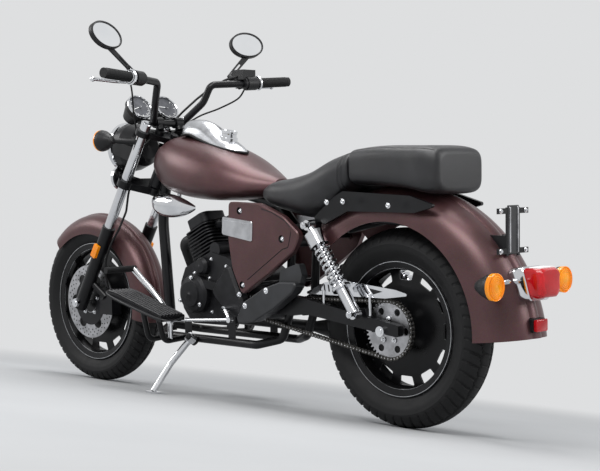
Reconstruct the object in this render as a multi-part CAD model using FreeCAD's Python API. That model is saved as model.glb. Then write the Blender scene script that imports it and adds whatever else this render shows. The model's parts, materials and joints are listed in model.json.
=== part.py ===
import FreeCAD
import Part
import math
import os

# A cruiser motorcycle with a 200 cc single, parked on its side stand.
# Every piece is drawn with the machine upright: X forward, Y to the rider's left, Z up,
# millimetres, origin on the ground under the rear axle. The last function leans the whole
# machine to the left until the foot of the stand is on the floor.

Vector = FreeCAD.Vector
Y_AXIS = Vector(0, 1, 0)
LEFT = 1
RIGHT = -1
SIDES = (LEFT, RIGHT)

# Chassis geometry
WHEELBASE = 1500.0
RAKE_DEG = 31.0
FORK_OFFSET = 50.0
LEAN_DEG = 9.5

# Tyres and rims
CROWN_RADIUS = 75.0
REAR_TYRE_RADIUS = 307.0
REAR_TYRE_WIDTH = 130.0
REAR_BEAD_RADIUS = 190.5
REAR_RIM_WIDTH = 96.0
FRONT_TYRE_RADIUS = 302.0
FRONT_TYRE_WIDTH = 110.0
FRONT_BEAD_RADIUS = 203.0
FRONT_RIM_WIDTH = 80.0
FLANGE_HEIGHT = 17.0
RIM_WALL = 6.0
TYRE_WALL = 10.0
TYRE_FLATS = 64
SEAT_GAP = 0.3
HUB_RADIUS = 40.0
REAR_HUB_HALF_WIDTH = 64.0
FRONT_HUB_HALF_WIDTH = 62.0
WEB_WALL = 7.0
WINDOW_COUNT = 12
WINDOW_DEPTH = 30.0
AXLE_RADIUS = 8.0
RUNNING_FIT = 0.05

# Brakes and chain drive
FRONT_DISC_RADIUS = 137.0
FRONT_DISC_Y = 60.0
REAR_DISC_RADIUS = 110.0
REAR_DISC_Y = -62.0
DISC_WALL = 4.0
CHAIN_Y = 84.0
CHAIN_PITCH = 12.7
REAR_SPROCKET_TEETH = 43
FRONT_SPROCKET_TEETH = 15
FRONT_SPROCKET_X = 610.0
FRONT_SPROCKET_Z = 345.0
SPROCKET_WALL = 6.0
CHAIN_PLATE_GAP = 8.0
CHAIN_WIDTH = 15.0
CHAIN_HEIGHT = 12.0

# Fork and steering head
FORK_HALF_TRACK = 100.0
SLIDER_RADIUS = 24.0
STANCHION_RADIUS = 18.5
SLIDER_TOP = 332.0
LOWER_CLAMP = 520.0
UPPER_CLAMP = 727.0
STANCHION_TOP = 762.0
HEAD_TUBE_RADIUS = 27.0
STEM_RADIUS = 13.0
CLAMP_WALL = 28.0
CLAMP_EYE_RADIUS = 26.0
HEAD_CLEARANCE = 48.0

# Frame tubes
BACKBONE_RADIUS = 22.0
RAIL_RADIUS = 14.0
RAIL_HALF_TRACK = 100.0
PIVOT_X = 450.0
PIVOT_Z = 345.0
PIVOT_BOLT_RADIUS = 9.0
UPRIGHT_X = 436.0
UPRIGHT_Y = 58.0
SEAT_RAIL_Y = 72.0
SEAT_RAIL_RADIUS = 12.0

SWINGARM_Y = 110.0
SWINGARM_HALF_WALL = 12.0

# Sheet metal
SHEET = 2.5
TANK_SHEET = 3.0
REAR_GUARD_HALF_WIDTH = 110.0
REAR_GUARD_CENTRE_Z = 262.0
REAR_GUARD_RADIUS = 483.0
SOFT_GAP = 0.4
FRONT_GUARD_HALF_WIDTH = 68.0
FRONT_GUARD_RADIUS = 331.0

# Side stand
STAND_PIVOT = Vector(847, 135, 221)
STAND_FOLDED_WAY = Vector(-221, 20, 0)
STAND_FORWARD = 59.0
STAND_SPREAD = 120.0
STAND_RADIUS = 11.0
STAND_PIN_RADIUS = 6.0
STAND_EYE_HALF = 12.0
STAND_FOOT_WALL = 6.0
STAND_FOOT_RADIUS = 26.0


def unit(vector):
    """The vector at length one."""
    return vector * (1.0 / vector.Length)


def rod(start, end, radius):
    """A round bar between two points."""
    run = end - start
    return Part.makeCylinder(radius, run.Length, start, run)


def tapered(start, end, radius_start, radius_end):
    """A cone frustum between two points."""
    run = end - start
    return Part.makeCone(radius_start, radius_end, run.Length, start, run)


def pipe(start, end, radius, bore):
    """A straight tube between two points."""
    return rod(start, end, radius).cut(rod(start, end, bore))


def fused(shapes):
    """One shape from several that touch."""
    whole = shapes[0]
    if len(shapes) > 1:
        whole = whole.fuse(shapes[1:])
    return whole.removeSplitter()


def corner_edges(points, radii, closed):
    """Straight runs joined by tangent arcs; one radius for each corner."""
    count = len(points)
    first = 0 if closed else 1
    last = count if closed else count - 1
    arcs = []
    for index in range(first, last):
        here = points[index]
        before = unit(points[index - 1] - here)
        after = unit(points[(index + 1) % count] - here)
        half = before.getAngle(after) / 2.0
        radius = radii[index] if isinstance(radii, (list, tuple)) else radii
        if radius <= 0 or half > math.pi / 2 - 1e-4:
            arcs.append((here, None, here))
            continue
        reach = radius / math.tan(half)
        bisector = unit(before + after)
        centre = here + bisector * (radius / math.sin(half))
        middle = centre - bisector * radius
        arcs.append((here + before * reach, middle, here + after * reach))
    edges = []
    cursor = arcs[-1][2] if closed else points[0]
    for start, middle, end in arcs:
        if (start - cursor).Length > 1e-6:
            edges.append(Part.LineSegment(cursor, start).toShape())
        if middle is not None:
            edges.append(Part.Arc(start, middle, end).toShape())
        cursor = end
    if not closed and (points[-1] - cursor).Length > 1e-6:
        edges.append(Part.LineSegment(cursor, points[-1]).toShape())
    return edges


def bent_rod(points, radius, bend):
    """A round bar that follows a bent path."""
    path = Part.Wire(corner_edges(points, bend, False))
    run = points[1] - points[0]
    ring = Part.Wire(Part.makeCircle(radius, points[0], run))
    return path.makePipeShell([ring], True, False)


def side_plate(outline, y_low, y_high, rounding=0.0):
    """A flat plate seen from the side, from its outline of (x, z) corners."""
    points = [Vector(x, y_low, z) for x, z in outline]
    face = Part.Face(Part.Wire(corner_edges(points, rounding, True)))
    return face.extrude(Vector(0, y_high - y_low, 0))


def turned(profile, centre, axis=Y_AXIS):
    """A turned piece about the wheel axis, from (radius, across) corners."""
    points = [Vector(radius, across, 0) for radius, across in profile]
    points.append(points[0])
    face = Part.Face(Part.makePolygon(points))
    solid = face.revolve(Vector(0, 0, 0), Y_AXIS, 360)
    place = FreeCAD.Placement(centre, FreeCAD.Rotation(Y_AXIS, axis))
    solid.Placement = place
    return solid


def egg_wire(x, half_width, z_low, z_high, shoulder, squareness=2.3):
    """A closed smooth section across the machine; shoulder says how high it is widest."""
    z_wide = z_low + (z_high - z_low) * shoulder
    points = []
    steps = 8
    for step in range(steps):
        angle = 2 * math.pi * step / steps
        across = math.copysign(abs(math.cos(angle)) ** (2.0 / squareness), math.cos(angle))
        rise = math.copysign(abs(math.sin(angle)) ** (2.0 / squareness), math.sin(angle))
        height = (z_high - z_wide) if rise > 0 else (z_wide - z_low)
        points.append(Vector(x, half_width * across, z_wide + height * rise))
    curve = Part.BSplineCurve()
    curve.interpolate(points, PeriodicFlag=True)
    return Part.Wire(curve.toShape())


def fork_direction():
    """Unit vector up the fork."""
    rake = math.radians(RAKE_DEG)
    return Vector(-math.sin(rake), 0, math.cos(rake))


def fork_forward():
    """Unit vector square to the fork, forward and up."""
    rake = math.radians(RAKE_DEG)
    return Vector(math.cos(rake), 0, math.sin(rake))


def front_axle_point():
    return Vector(WHEELBASE, 0, FRONT_TYRE_RADIUS)


def rear_axle_point():
    return Vector(0, 0, REAR_TYRE_RADIUS)


def fork_point(along, across=0.0, forward=0.0):
    """A point by its distance up the fork, its side and its distance ahead of the fork."""
    return (
        front_axle_point()
        + fork_direction() * along
        + fork_forward() * forward
        + Vector(0, across, 0)
    )


def rim(centre, bead_radius, rim_width, hub_half_width):
    """A cast wheel: barrel, dished web with windows and hub."""
    half = rim_width / 2
    flange = bead_radius + FLANGE_HEIGHT
    barrel = turned(
        [
            (flange, half),
            (flange, half - 5),
            (bead_radius, half - 8),
            (bead_radius, 8 - half),
            (flange, 5 - half),
            (flange, -half),
            (bead_radius - RIM_WALL, 4 - half),
            (bead_radius - RIM_WALL, half - 4),
        ],
        centre,
    )
    web_outer = bead_radius - RIM_WALL + 1
    dish = bead_radius * 0.70
    web = turned(
        [
            (HUB_RADIUS - 1, 26),
            (dish, 12),
            (web_outer, 4),
            (web_outer, 4 - WEB_WALL),
            (dish, 12 - WEB_WALL),
            (HUB_RADIUS - 1, 26 - WEB_WALL),
        ],
        centre,
    )
    outer = bead_radius - RIM_WALL - 6
    inner = outer - WINDOW_DEPTH
    spread = math.pi / WINDOW_COUNT * 0.62
    cutter_points = []
    for radius, angle in ((inner, -spread), (outer, -spread), (outer, spread), (inner, spread)):
        cutter_points.append(Vector(radius * math.cos(angle), -half, radius * math.sin(angle)))
    window = Part.Face(Part.Wire(corner_edges(cutter_points, 5, True)))
    window = window.extrude(Vector(0, rim_width, 0))
    window.translate(centre)
    for index in range(WINDOW_COUNT):
        cutter = window.copy()
        cutter.rotate(centre, Y_AXIS, 360.0 * index / WINDOW_COUNT)
        web = web.cut(cutter)
    hub = rod(
        centre - Vector(0, hub_half_width, 0), centre + Vector(0, hub_half_width, 0), HUB_RADIUS
    )
    wheel = fused([barrel, web, hub])
    bore = rod(
        centre - Vector(0, rim_width, 0),
        centre + Vector(0, rim_width, 0),
        AXLE_RADIUS + RUNNING_FIT,
    )
    return wheel.cut(bore)


def faceted_ring(section, centre, count):
    """A ring of flats about the wheel axis: the flats lie at the section's radii."""
    swell = 1.0 / math.cos(math.pi / count)
    faces = []
    for index in range(count):
        ends = []
        for step in (index, index + 1):
            angle = 2 * math.pi * (step + 0.5) / count - math.pi / 2
            ring = []
            for radius, across in section:
                reach = radius * swell
                ring.append(centre + Vector(reach * math.cos(angle), across, reach * math.sin(angle)))
            ends.append(ring)
        first, second = ends
        for spot in range(len(section)):
            after = (spot + 1) % len(section)
            corners = [first[spot], first[after], second[after], second[spot], first[spot]]
            faces.append(Part.Face(Part.makePolygon(corners)))
    shell = Part.makeShell(faces)
    shell.sewShape()
    ring = Part.makeSolid(shell)
    if ring.Volume < 0:
        ring.reverse()
    return ring


def tyre(centre, radius, width, bead_radius, rim_width):
    """A hollow tyre on its bead seats; its crown follows one radius and it stands on a flat."""
    half = rim_width / 2
    flange = bead_radius + FLANGE_HEIGHT
    edge = math.asin((width / 2 - 10) / CROWN_RADIUS)
    lean = math.radians(LEAN_DEG)
    shoulder = (edge + lean) / 2
    crown = []
    for angle in (edge, shoulder, lean, -lean, -shoulder, -edge):
        crown.append(
            (radius - CROWN_RADIUS * (1 - math.cos(angle)), CROWN_RADIUS * math.sin(angle))
        )
    widest = (flange + radius) / 2 + 2
    side = [
        (widest, -width / 2),
        (flange + 1, 6 - half),
        (bead_radius + SEAT_GAP, 9 - half),
        (bead_radius + SEAT_GAP, 20 - half),
    ]
    lining = [
        (widest, TYRE_WALL - width / 2),
        (radius - TYRE_WALL - 6, 30 - width / 2),
        (radius - TYRE_WALL - 6, width / 2 - 30),
        (widest, width / 2 - TYRE_WALL),
    ]
    other = [(r, -y) for r, y in reversed(side)]
    return faceted_ring(crown + side + lining + other, centre, TYRE_FLATS)


def brake_disc(centre, across, radius, bore):
    """A flat brake disc with a ring of lightening holes."""
    start = centre + Vector(0, across - DISC_WALL / 2, 0)
    end = centre + Vector(0, across + DISC_WALL / 2, 0)
    disc = pipe(start, end, radius, bore)
    ring = (radius + bore) / 2
    for index in range(6):
        angle = 2 * math.pi * index / 6
        offset = Vector(ring * math.cos(angle), 0, ring * math.sin(angle))
        disc = disc.cut(rod(start + offset, end + offset, (radius - bore) * 0.22))
    return disc


def pitch_radius(teeth):
    return CHAIN_PITCH / 2 / math.sin(math.pi / teeth)


def sprocket(centre, across, teeth, bore, hole_radius):
    """A chain wheel with one tooth for each chain roller, and lightening holes if asked."""
    pitch = pitch_radius(teeth)
    points = []
    for index in range(teeth):
        for part, radius in ((-0.30, pitch - 4), (-0.12, pitch + 4), (0.12, pitch + 4), (0.30, pitch - 4)):
            angle = 2 * math.pi * (index + 0.5 + part) / teeth
            points.append(Vector(radius * math.cos(angle), 0, radius * math.sin(angle)))
    points.append(points[0])
    wheel = Part.Face(Part.makePolygon(points)).extrude(Vector(0, SPROCKET_WALL, 0))
    wheel.translate(centre + Vector(0, across - SPROCKET_WALL / 2, 0))
    reach = Vector(0, SPROCKET_WALL, 0)
    middle = centre + Vector(0, across, 0)
    wheel = wheel.cut(rod(middle - reach, middle + reach, bore))
    if hole_radius > 0:
        hole_ring = (HUB_RADIUS + pitch) / 2
        for index in range(6):
            angle = 2 * math.pi * index / 6
            offset = Vector(hole_ring * math.cos(angle), 0, hole_ring * math.sin(angle))
            wheel = wheel.cut(rod(middle + offset - reach, middle + offset + reach, hole_radius))
    return wheel


def guard_section(crown_radius, half_width, skirt, inset):
    """Half of a mudguard's section, from the skirt's edge to the crown, as (radius, across)."""
    corner = half_width * 0.8
    crown = half_width * 0.07
    bend = corner - inset
    knee = bend * (1 - math.sqrt(0.5))
    side = half_width - inset
    top = crown_radius - inset
    return (
        (crown_radius - skirt, side),
        (top - crown - bend, side),
        (top - crown - knee, side - knee),
        (top - crown, half_width - corner),
        (top, 0),
    )


def guard_line(spots):
    """The edges of one skin of a mudguard, from its left skirt to its right one."""
    left = [Vector(radius, across, 0) for radius, across in spots]
    right = [Vector(radius, -across, 0) for radius, across in spots]
    return [
        Part.LineSegment(left[0], left[1]).toShape(),
        Part.Arc(left[1], left[2], left[3]).toShape(),
        Part.Arc(left[3], left[4], right[3]).toShape(),
        Part.Arc(right[3], right[2], right[1]).toShape(),
        Part.LineSegment(right[1], right[0]).toShape(),
    ]


def guard_join(from_spot, to_spot):
    return Part.LineSegment(Vector(*from_spot, 0), Vector(*to_spot, 0)).toShape()


def swept_about(edges, centre, start_deg, end_deg):
    """Sweep a closed section about a wheel axis, in degrees from forward."""
    face = Part.Face(Part.Wire(edges))
    face.rotate(Vector(0, 0, 0), Y_AXIS, -start_deg)
    face.translate(centre)
    return face.revolve(centre, Y_AXIS, start_deg - end_deg)


def mudguard(centre, crown_radius, half_width, skirt, start_deg, end_deg):
    """A curved sheet shell: one U section swept round a centre."""
    outer = guard_section(crown_radius, half_width, skirt, 0)
    inner = guard_section(crown_radius, half_width, skirt, SHEET)
    edges = guard_line(outer)
    edges.append(guard_join((outer[0][0], -outer[0][1]), (inner[0][0], -inner[0][1])))
    edges.extend(reversed(guard_line(inner)))
    edges.append(guard_join(inner[0], outer[0]))
    return swept_about(edges, centre, start_deg, end_deg)


def mudguard_mass(centre, crown_radius, half_width, skirt, start_deg, end_deg, clearance):
    """The whole space that a mudguard takes up, with a clearance round it."""
    outer = guard_section(crown_radius, half_width, skirt, -clearance)
    edges = guard_line(outer)
    edges.append(guard_join((outer[0][0], -outer[0][1]), outer[0]))
    return swept_about(edges, centre, start_deg, end_deg)


# Wheels


def front_rim():
    return rim(front_axle_point(), FRONT_BEAD_RADIUS, FRONT_RIM_WIDTH, FRONT_HUB_HALF_WIDTH)


def front_tyre():
    return tyre(
        front_axle_point(), FRONT_TYRE_RADIUS, FRONT_TYRE_WIDTH, FRONT_BEAD_RADIUS, FRONT_RIM_WIDTH
    )


def front_disc():
    return brake_disc(front_axle_point(), FRONT_DISC_Y, FRONT_DISC_RADIUS, HUB_RADIUS)


def rear_rim():
    return rim(rear_axle_point(), REAR_BEAD_RADIUS, REAR_RIM_WIDTH, REAR_HUB_HALF_WIDTH)


def rear_tyre():
    return tyre(
        rear_axle_point(), REAR_TYRE_RADIUS, REAR_TYRE_WIDTH, REAR_BEAD_RADIUS, REAR_RIM_WIDTH
    )


def rear_disc():
    return brake_disc(rear_axle_point(), REAR_DISC_Y, REAR_DISC_RADIUS, HUB_RADIUS)


def rear_sprocket():
    carrier_start = rear_axle_point() + Vector(0, REAR_HUB_HALF_WIDTH, 0)
    carrier_end = rear_axle_point() + Vector(0, CHAIN_Y - SPROCKET_WALL / 2, 0)
    carrier = rod(carrier_start, carrier_end, HUB_RADIUS)
    wheel = sprocket(rear_axle_point(), CHAIN_Y, REAR_SPROCKET_TEETH, AXLE_RADIUS + 4, 11)
    bore = rod(carrier_start, carrier_end + Vector(0, 20, 0), AXLE_RADIUS + RUNNING_FIT)
    return fused([carrier, wheel]).cut(bore)


# Steering


def fork_tubes():
    tubes = []
    for side in SIDES:
        across = side * FORK_HALF_TRACK
        tubes.append(
            rod(fork_point(SLIDER_TOP - 40, across), fork_point(STANCHION_TOP, across), STANCHION_RADIUS)
        )
    return Part.makeCompound(tubes)


def fork_sliders():
    """The fork's lower legs, each with two lugs for the mudguard."""
    legs = []
    for side in SIDES:
        across = side * FORK_HALF_TRACK
        shapes = [rod(fork_point(-22, across), fork_point(SLIDER_TOP, across), SLIDER_RADIUS)]
        for along in (236, 266):
            shapes.append(rod(fork_point(along, across), fork_point(along, side * FRONT_GUARD_HALF_WIDTH), 10))
        leg = fused(shapes)
        socket = rod(
            fork_point(SLIDER_TOP - 40, across), fork_point(SLIDER_TOP + 1, across), STANCHION_RADIUS
        )
        axle_hole = rod(
            front_axle_point() + Vector(0, side * 60, 0),
            front_axle_point() + Vector(0, side * 140, 0),
            AXLE_RADIUS,
        )
        legs.append(leg.cut(socket).cut(axle_hole))
    return Part.makeCompound(legs)


def front_axle():
    reach = FORK_HALF_TRACK + SLIDER_RADIUS
    shaft = rod(
        front_axle_point() - Vector(0, reach + 12, 0),
        front_axle_point() + Vector(0, reach + 12, 0),
        AXLE_RADIUS,
    )
    nuts = []
    for side in SIDES:
        nuts.append(
            rod(
                front_axle_point() + Vector(0, side * reach, 0),
                front_axle_point() + Vector(0, side * (reach + 10), 0),
                16,
            )
        )
    return fused([shaft] + nuts)


def clamp_block(along, wall):
    """A triple clamp: two fork eyes and the stem eye in one plate."""
    up = fork_direction() * (wall / 2)
    eyes = []
    for side in SIDES:
        middle = fork_point(along, side * FORK_HALF_TRACK)
        eyes.append(rod(middle - up, middle + up, STANCHION_RADIUS + 9))
    stem_eye = fork_point(along, 0, -FORK_OFFSET)
    eyes.append(rod(stem_eye - up, stem_eye + up, CLAMP_EYE_RADIUS))
    corners = [
        (118, -12),
        (110, 20),
        (40, 8),
        (-40, 8),
        (-110, 20),
        (-118, -12),
        (-22, -FORK_OFFSET - 12),
        (22, -FORK_OFFSET - 12),
    ]
    outline = [fork_point(along, across, forward) - up for across, forward in corners]
    web = Part.Face(Part.Wire(corner_edges(outline, 6, True)))
    web = web.extrude(fork_direction() * wall)
    block = fused([web] + eyes)
    for side in SIDES:
        middle = fork_point(along, side * FORK_HALF_TRACK)
        block = block.cut(rod(middle - up * 2, middle + up * 2, STANCHION_RADIUS))
    return block


def triple_clamps():
    lower = clamp_block(LOWER_CLAMP, CLAMP_WALL)
    upper = clamp_block(UPPER_CLAMP, CLAMP_WALL * 0.7)
    stem = rod(
        fork_point(LOWER_CLAMP, 0, -FORK_OFFSET), fork_point(UPPER_CLAMP + 22, 0, -FORK_OFFSET), STEM_RADIUS
    )
    return fused([lower, upper, stem])


def front_mudguard():
    guard = mudguard(
        front_axle_point(), FRONT_GUARD_RADIUS, FRONT_GUARD_HALF_WIDTH, 92, 47, 191
    )
    arch = rod(
        front_axle_point() + Vector(6, -100, -8), front_axle_point() + Vector(6, 100, -8), 262
    )
    return guard.cut(arch)


HEADLAMP_RADIUS = 92.0
HEADLAMP_CENTRE = Vector(1341, 0, 878)
HEADLAMP_DEPTH = 132.0
HORN_RADIUS = 45.0
HORN_CENTRE = Vector(1352, 22, 766)


def headlamp_shell():
    profile = [
        (0, -HEADLAMP_DEPTH),
        (44, -HEADLAMP_DEPTH + 6),
        (70, -HEADLAMP_DEPTH + 30),
        (HEADLAMP_RADIUS - 6, -52),
        (HEADLAMP_RADIUS - 4, -20),
        (HEADLAMP_RADIUS, -18),
        (HEADLAMP_RADIUS, 0),
        (HEADLAMP_RADIUS - 5, 2),
        (HEADLAMP_RADIUS - 8, -50),
        (66, -HEADLAMP_DEPTH + 34),
        (42, -HEADLAMP_DEPTH + 10),
        (0, -HEADLAMP_DEPTH + 4),
    ]
    return turned(profile, HEADLAMP_CENTRE, Vector(1, 0, 0))


def headlamp_glass():
    radius = HEADLAMP_RADIUS - 5.5
    profile = [(0, 14), (radius * 0.6, 10), (radius, 0), (radius, -6), (radius * 0.6, 4), (0, 8)]
    return turned(profile, HEADLAMP_CENTRE, Vector(1, 0, 0))


def headlamp_bracket():
    """Two ears on the fork tubes that hold the lamp, and the arm of the horn."""
    shapes = []
    lamp = HEADLAMP_CENTRE - Vector(62, 0, 0)
    for side in SIDES:
        tube_low = fork_point(610, side * FORK_HALF_TRACK)
        tube_high = fork_point(660, side * FORK_HALF_TRACK)
        ear = [
            (tube_low.x + 6, tube_low.z - 4),
            (tube_high.x + 6, tube_high.z + 4),
            (lamp.x + 18, lamp.z + 22),
            (lamp.x + 22, lamp.z - 22),
        ]
        near = side * (FORK_HALF_TRACK - 4)
        far = side * FORK_HALF_TRACK
        shapes.append(side_plate(ear, min(near, far), max(near, far), 5))
        shapes.append(
            rod(Vector(lamp.x, side * (HEADLAMP_RADIUS - 8), lamp.z), Vector(lamp.x, far, lamp.z), 9)
        )
        reach = fork_direction() * 40
        bush = rod(tube_low - reach, tube_high + reach, STANCHION_RADIUS)
        shapes = [shape.cut(bush) for shape in shapes]
    return Part.makeCompound([fused(shapes[:2]), fused(shapes[2:])])


def horn():
    """A disc horn with a raised rim, on a strip from the lower clamp."""
    profile = [
        (0, -26),
        (20, -26),
        (24, -14),
        (HORN_RADIUS - 3, -12),
        (HORN_RADIUS, -8),
        (HORN_RADIUS, 4),
        (HORN_RADIUS - 4, 6),
        (HORN_RADIUS - 8, 0),
        (14, 2),
        (0, 6),
    ]
    disc = turned(profile, HORN_CENTRE, Vector(1, 0, 0))
    back = HORN_CENTRE - Vector(30, 0, 0)
    clamp = fork_point(LOWER_CLAMP, HORN_CENTRE.y, 20)
    strip = bent_rod([clamp, Vector(clamp.x + 40, HORN_CENTRE.y, back.z), back + Vector(8, 0, 0)], 7, 12)
    return fused([disc, strip])


GAUGE_RADIUS = 50.0
GAUGE_CENTRE = Vector(1186, 62, 1022)
GAUGE_TILT_DEG = 34.0


def gauges():
    """Two tapered instrument cups on one bracket, tilted back to the rider."""
    tilt = math.radians(GAUGE_TILT_DEG)
    facing = Vector(-math.cos(tilt), 0, math.sin(tilt))
    cups = []
    for side in SIDES:
        face = Vector(GAUGE_CENTRE.x, side * GAUGE_CENTRE.y, GAUGE_CENTRE.z)
        waist = face - facing * 22
        back = face - facing * 74
        cup = rod(waist, face, GAUGE_RADIUS).fuse(
            tapered(back, waist, GAUGE_RADIUS * 0.55, GAUGE_RADIUS * 0.94)
        )
        dial_well = rod(face - facing * 5, face + facing * 5, GAUGE_RADIUS - 4)
        cups.append(cup.cut(dial_well))
    seat = fork_point(UPPER_CLAMP + CLAMP_WALL * 0.35, 0, 13)
    neck = seat + fork_direction() * 12
    middle = Vector(GAUGE_CENTRE.x, 0, GAUGE_CENTRE.z - 54)
    reach = Vector(0, 70, 0)
    carriers = [rod(seat, neck, 12), rod(neck, middle, 10), rod(middle - reach, middle + reach, 10)]
    return fused(cups + carriers)


BAR_RADIUS = 12.7
GRIP_RADIUS = 17.0
BAR_CLAMP_Z = 960.0
BAR_CLAMP_X = 1110.0
BAR_ROUTE = (
    Vector(BAR_CLAMP_X, 66, BAR_CLAMP_Z),
    Vector(1042, 112, 1034),
    Vector(1014, 124, 1097),
    Vector(951, 279, 1105),
    Vector(926, 425, 1114),
)
BAR_BENDS = (30, 70, 26, 90)


def bar_point(side, index):
    place = BAR_ROUTE[index]
    return Vector(place.x, side * place.y, place.z)


def handlebar():
    right = [bar_point(RIGHT, index) for index in reversed(range(len(BAR_ROUTE)))]
    left = [bar_point(LEFT, index) for index in range(len(BAR_ROUTE))]
    bends = [0] + list(reversed(BAR_BENDS)) + list(BAR_BENDS) + [0]
    bar = bent_rod(right + left, BAR_RADIUS, bends)
    risers = []
    for side in SIDES:
        foot = fork_point(UPPER_CLAMP + CLAMP_WALL * 0.35, side * 45, -20)
        neck = foot + fork_direction() * 14
        top = Vector(BAR_CLAMP_X, side * 45, BAR_CLAMP_Z + 2)
        risers.append(rod(foot, neck, 17))
        risers.append(rod(neck, top, 14))
        risers.append(
            rod(top - Vector(0, 15, 0), top + Vector(0, 15, 0), BAR_RADIUS + 7)
        )
    return fused([bar] + risers)


def grip_line(side):
    """Start and end of the straight stretch of bar that carries the grip."""
    return bar_point(side, 3), bar_point(side, 4)


def grips():
    items = []
    for side in SIDES:
        start, end = grip_line(side)
        run = unit(end - start)
        flange = rod(start + run * 16, start + run * 24, GRIP_RADIUS + 6)
        sleeve = fused([flange, rod(start + run * 20, end + run * 4, GRIP_RADIUS)])
        items.append(sleeve.cut(rod(start - run * 30, end, BAR_RADIUS)))
    return Part.makeCompound(items)


def control_housings():
    """Switch blocks inboard of the grips; the right one also carries the brake reservoir."""
    items = []
    for side in SIDES:
        start, end = grip_line(side)
        run = unit(end - start)
        perch = start - run * 30
        lever_boss = perch + Vector(44, 0, -8)
        shapes = [
            rod(start - run * 44, start + run * 15.7, 21),
            rod(start - run * 36, start + run * 4, 25),
            rod(perch, lever_boss, 12),
            rod(perch, Vector(MIRROR_FOOT.x, side * MIRROR_FOOT.y, MIRROR_FOOT.z), 11),
        ]
        if side == RIGHT:
            shapes.append(Part.makeBox(58, 62, 36, perch + Vector(-6, -36, 14)))
        body = fused(shapes)
        items.append(body.cut(bent_bar_core(side)))
    return Part.makeCompound(items)


def bent_bar_core(side):
    """The bar's own stretch inside a control housing."""
    points = [bar_point(side, index) for index in range(1, len(BAR_ROUTE))]
    return bent_rod(points, BAR_RADIUS, [0] + list(BAR_BENDS[2:]) + [0])


def hand_levers():
    items = []
    for side in SIDES:
        start, end = grip_line(side)
        run = unit(end - start)
        pivot = start - run * 30 + Vector(50, 0, -9)
        knee = pivot + run * 50 + Vector(28, 0, -2)
        tip = Vector(1000, side * 415, 1098)
        blade = bent_rod([pivot, knee, tip], 6.5, 18)
        items.append(fused([blade, Part.makeSphere(9.5, tip), rod(pivot - Vector(0, 0, 8), pivot + Vector(0, 0, 8), 11)]))
    return Part.makeCompound(items)


LAMP_RADIUS = 38.0
LAMP_LENGTH = 56.0
FRONT_LAMP = Vector(1231, 200, 899)
FRONT_LAMP_CLAMP = 690.0
REAR_LAMP = Vector(-443, 167, 466)
REFLECTOR_ALONG = 232.0
HOSE_RADIUS = 4.0

MIRROR_HALF_WIDTH = 72.0
MIRROR_HALF_HEIGHT = 50.0
MIRROR_WALL = 14.0
MIRROR_CENTRE = Vector(1034, 326, 1252)
MIRROR_FOOT = Vector(1024, 224, 1128)
MIRROR_TURN_DEG = 10.0
MIRROR_TILT_DEG = 20.5
MIRROR_ROLL_DEG = 6.3


def mirror_frame(side):
    """Centre, facing, width and height directions of a mirror."""
    turn = math.radians(MIRROR_TURN_DEG)
    tilt = math.radians(MIRROR_TILT_DEG)
    roll = math.radians(-MIRROR_ROLL_DEG * side)
    facing = Vector(
        -math.cos(turn) * math.cos(tilt), -side * math.sin(turn) * math.cos(tilt), math.sin(tilt)
    )
    level = unit(Vector(0, 0, 1).cross(facing))
    rise = facing.cross(level)
    width = level * math.cos(roll) + rise * math.sin(roll)
    height = rise * math.cos(roll) - level * math.sin(roll)
    centre = Vector(MIRROR_CENTRE.x, side * MIRROR_CENTRE.y, MIRROR_CENTRE.z)
    return centre, facing, width, height


def oval_prism(side, half_width, half_height, near, far):
    """An oval slab of a mirror, from one depth to another along its facing."""
    centre, facing, width, height = mirror_frame(side)
    start = centre + facing * near
    curve = Part.Ellipse(start + width * half_width, start + height * half_height, start)
    face = Part.Face(Part.Wire(curve.toShape()))
    return face.extrude(facing * (far - near))


def mirrors():
    """Oval mirror heads with a recess for the glass, on flat slotted stems."""
    items = []
    for side in SIDES:
        head = oval_prism(side, MIRROR_HALF_WIDTH, MIRROR_HALF_HEIGHT, -MIRROR_WALL, 0)
        recess = oval_prism(side, MIRROR_HALF_WIDTH - 4, MIRROR_HALF_HEIGHT - 4, -3, 1)
        centre, facing, width, height = mirror_frame(side)
        base = Vector(MIRROR_FOOT.x, side * MIRROR_FOOT.y, MIRROR_FOOT.z)
        top = centre - facing * (MIRROR_WALL - 4) - height * 34
        run = unit(top - base)
        broad = unit(run.cross(facing))
        thin = unit(run.cross(broad))
        corners = []
        for along, across in ((18, -9), (18, 9), ((top - base).Length, 11), ((top - base).Length, -11)):
            corners.append(base + run * along + broad * across - thin * 3)
        stem = Part.Face(Part.Wire(corner_edges(corners, 5, True))).extrude(thin * 6)
        slot_points = []
        for along, across in ((34, -3.5), (34, 3.5), (78, 3.5), (78, -3.5)):
            slot_points.append(base + run * along + broad * across - thin * 5)
        slot = Part.Face(Part.Wire(corner_edges(slot_points, 3, True))).extrude(thin * 10)
        foot = rod(base, base + run * 26, 9)
        items.append(fused([head.cut(recess), stem.cut(slot).cut(recess), foot]))
    return Part.makeCompound(items)


def mirror_glasses():
    items = []
    for side in SIDES:
        items.append(
            oval_prism(side, MIRROR_HALF_WIDTH - 4, MIRROR_HALF_HEIGHT - 4, -3, -1)
        )
    return Part.makeCompound(items)


def lamp_shell_profile():
    return [
        (0, -LAMP_LENGTH),
        (14, -LAMP_LENGTH + 3),
        (26, -LAMP_LENGTH * 0.6),
        (LAMP_RADIUS - 2, -LAMP_LENGTH * 0.2),
        (LAMP_RADIUS, 0),
        (0, 0),
    ]


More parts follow.
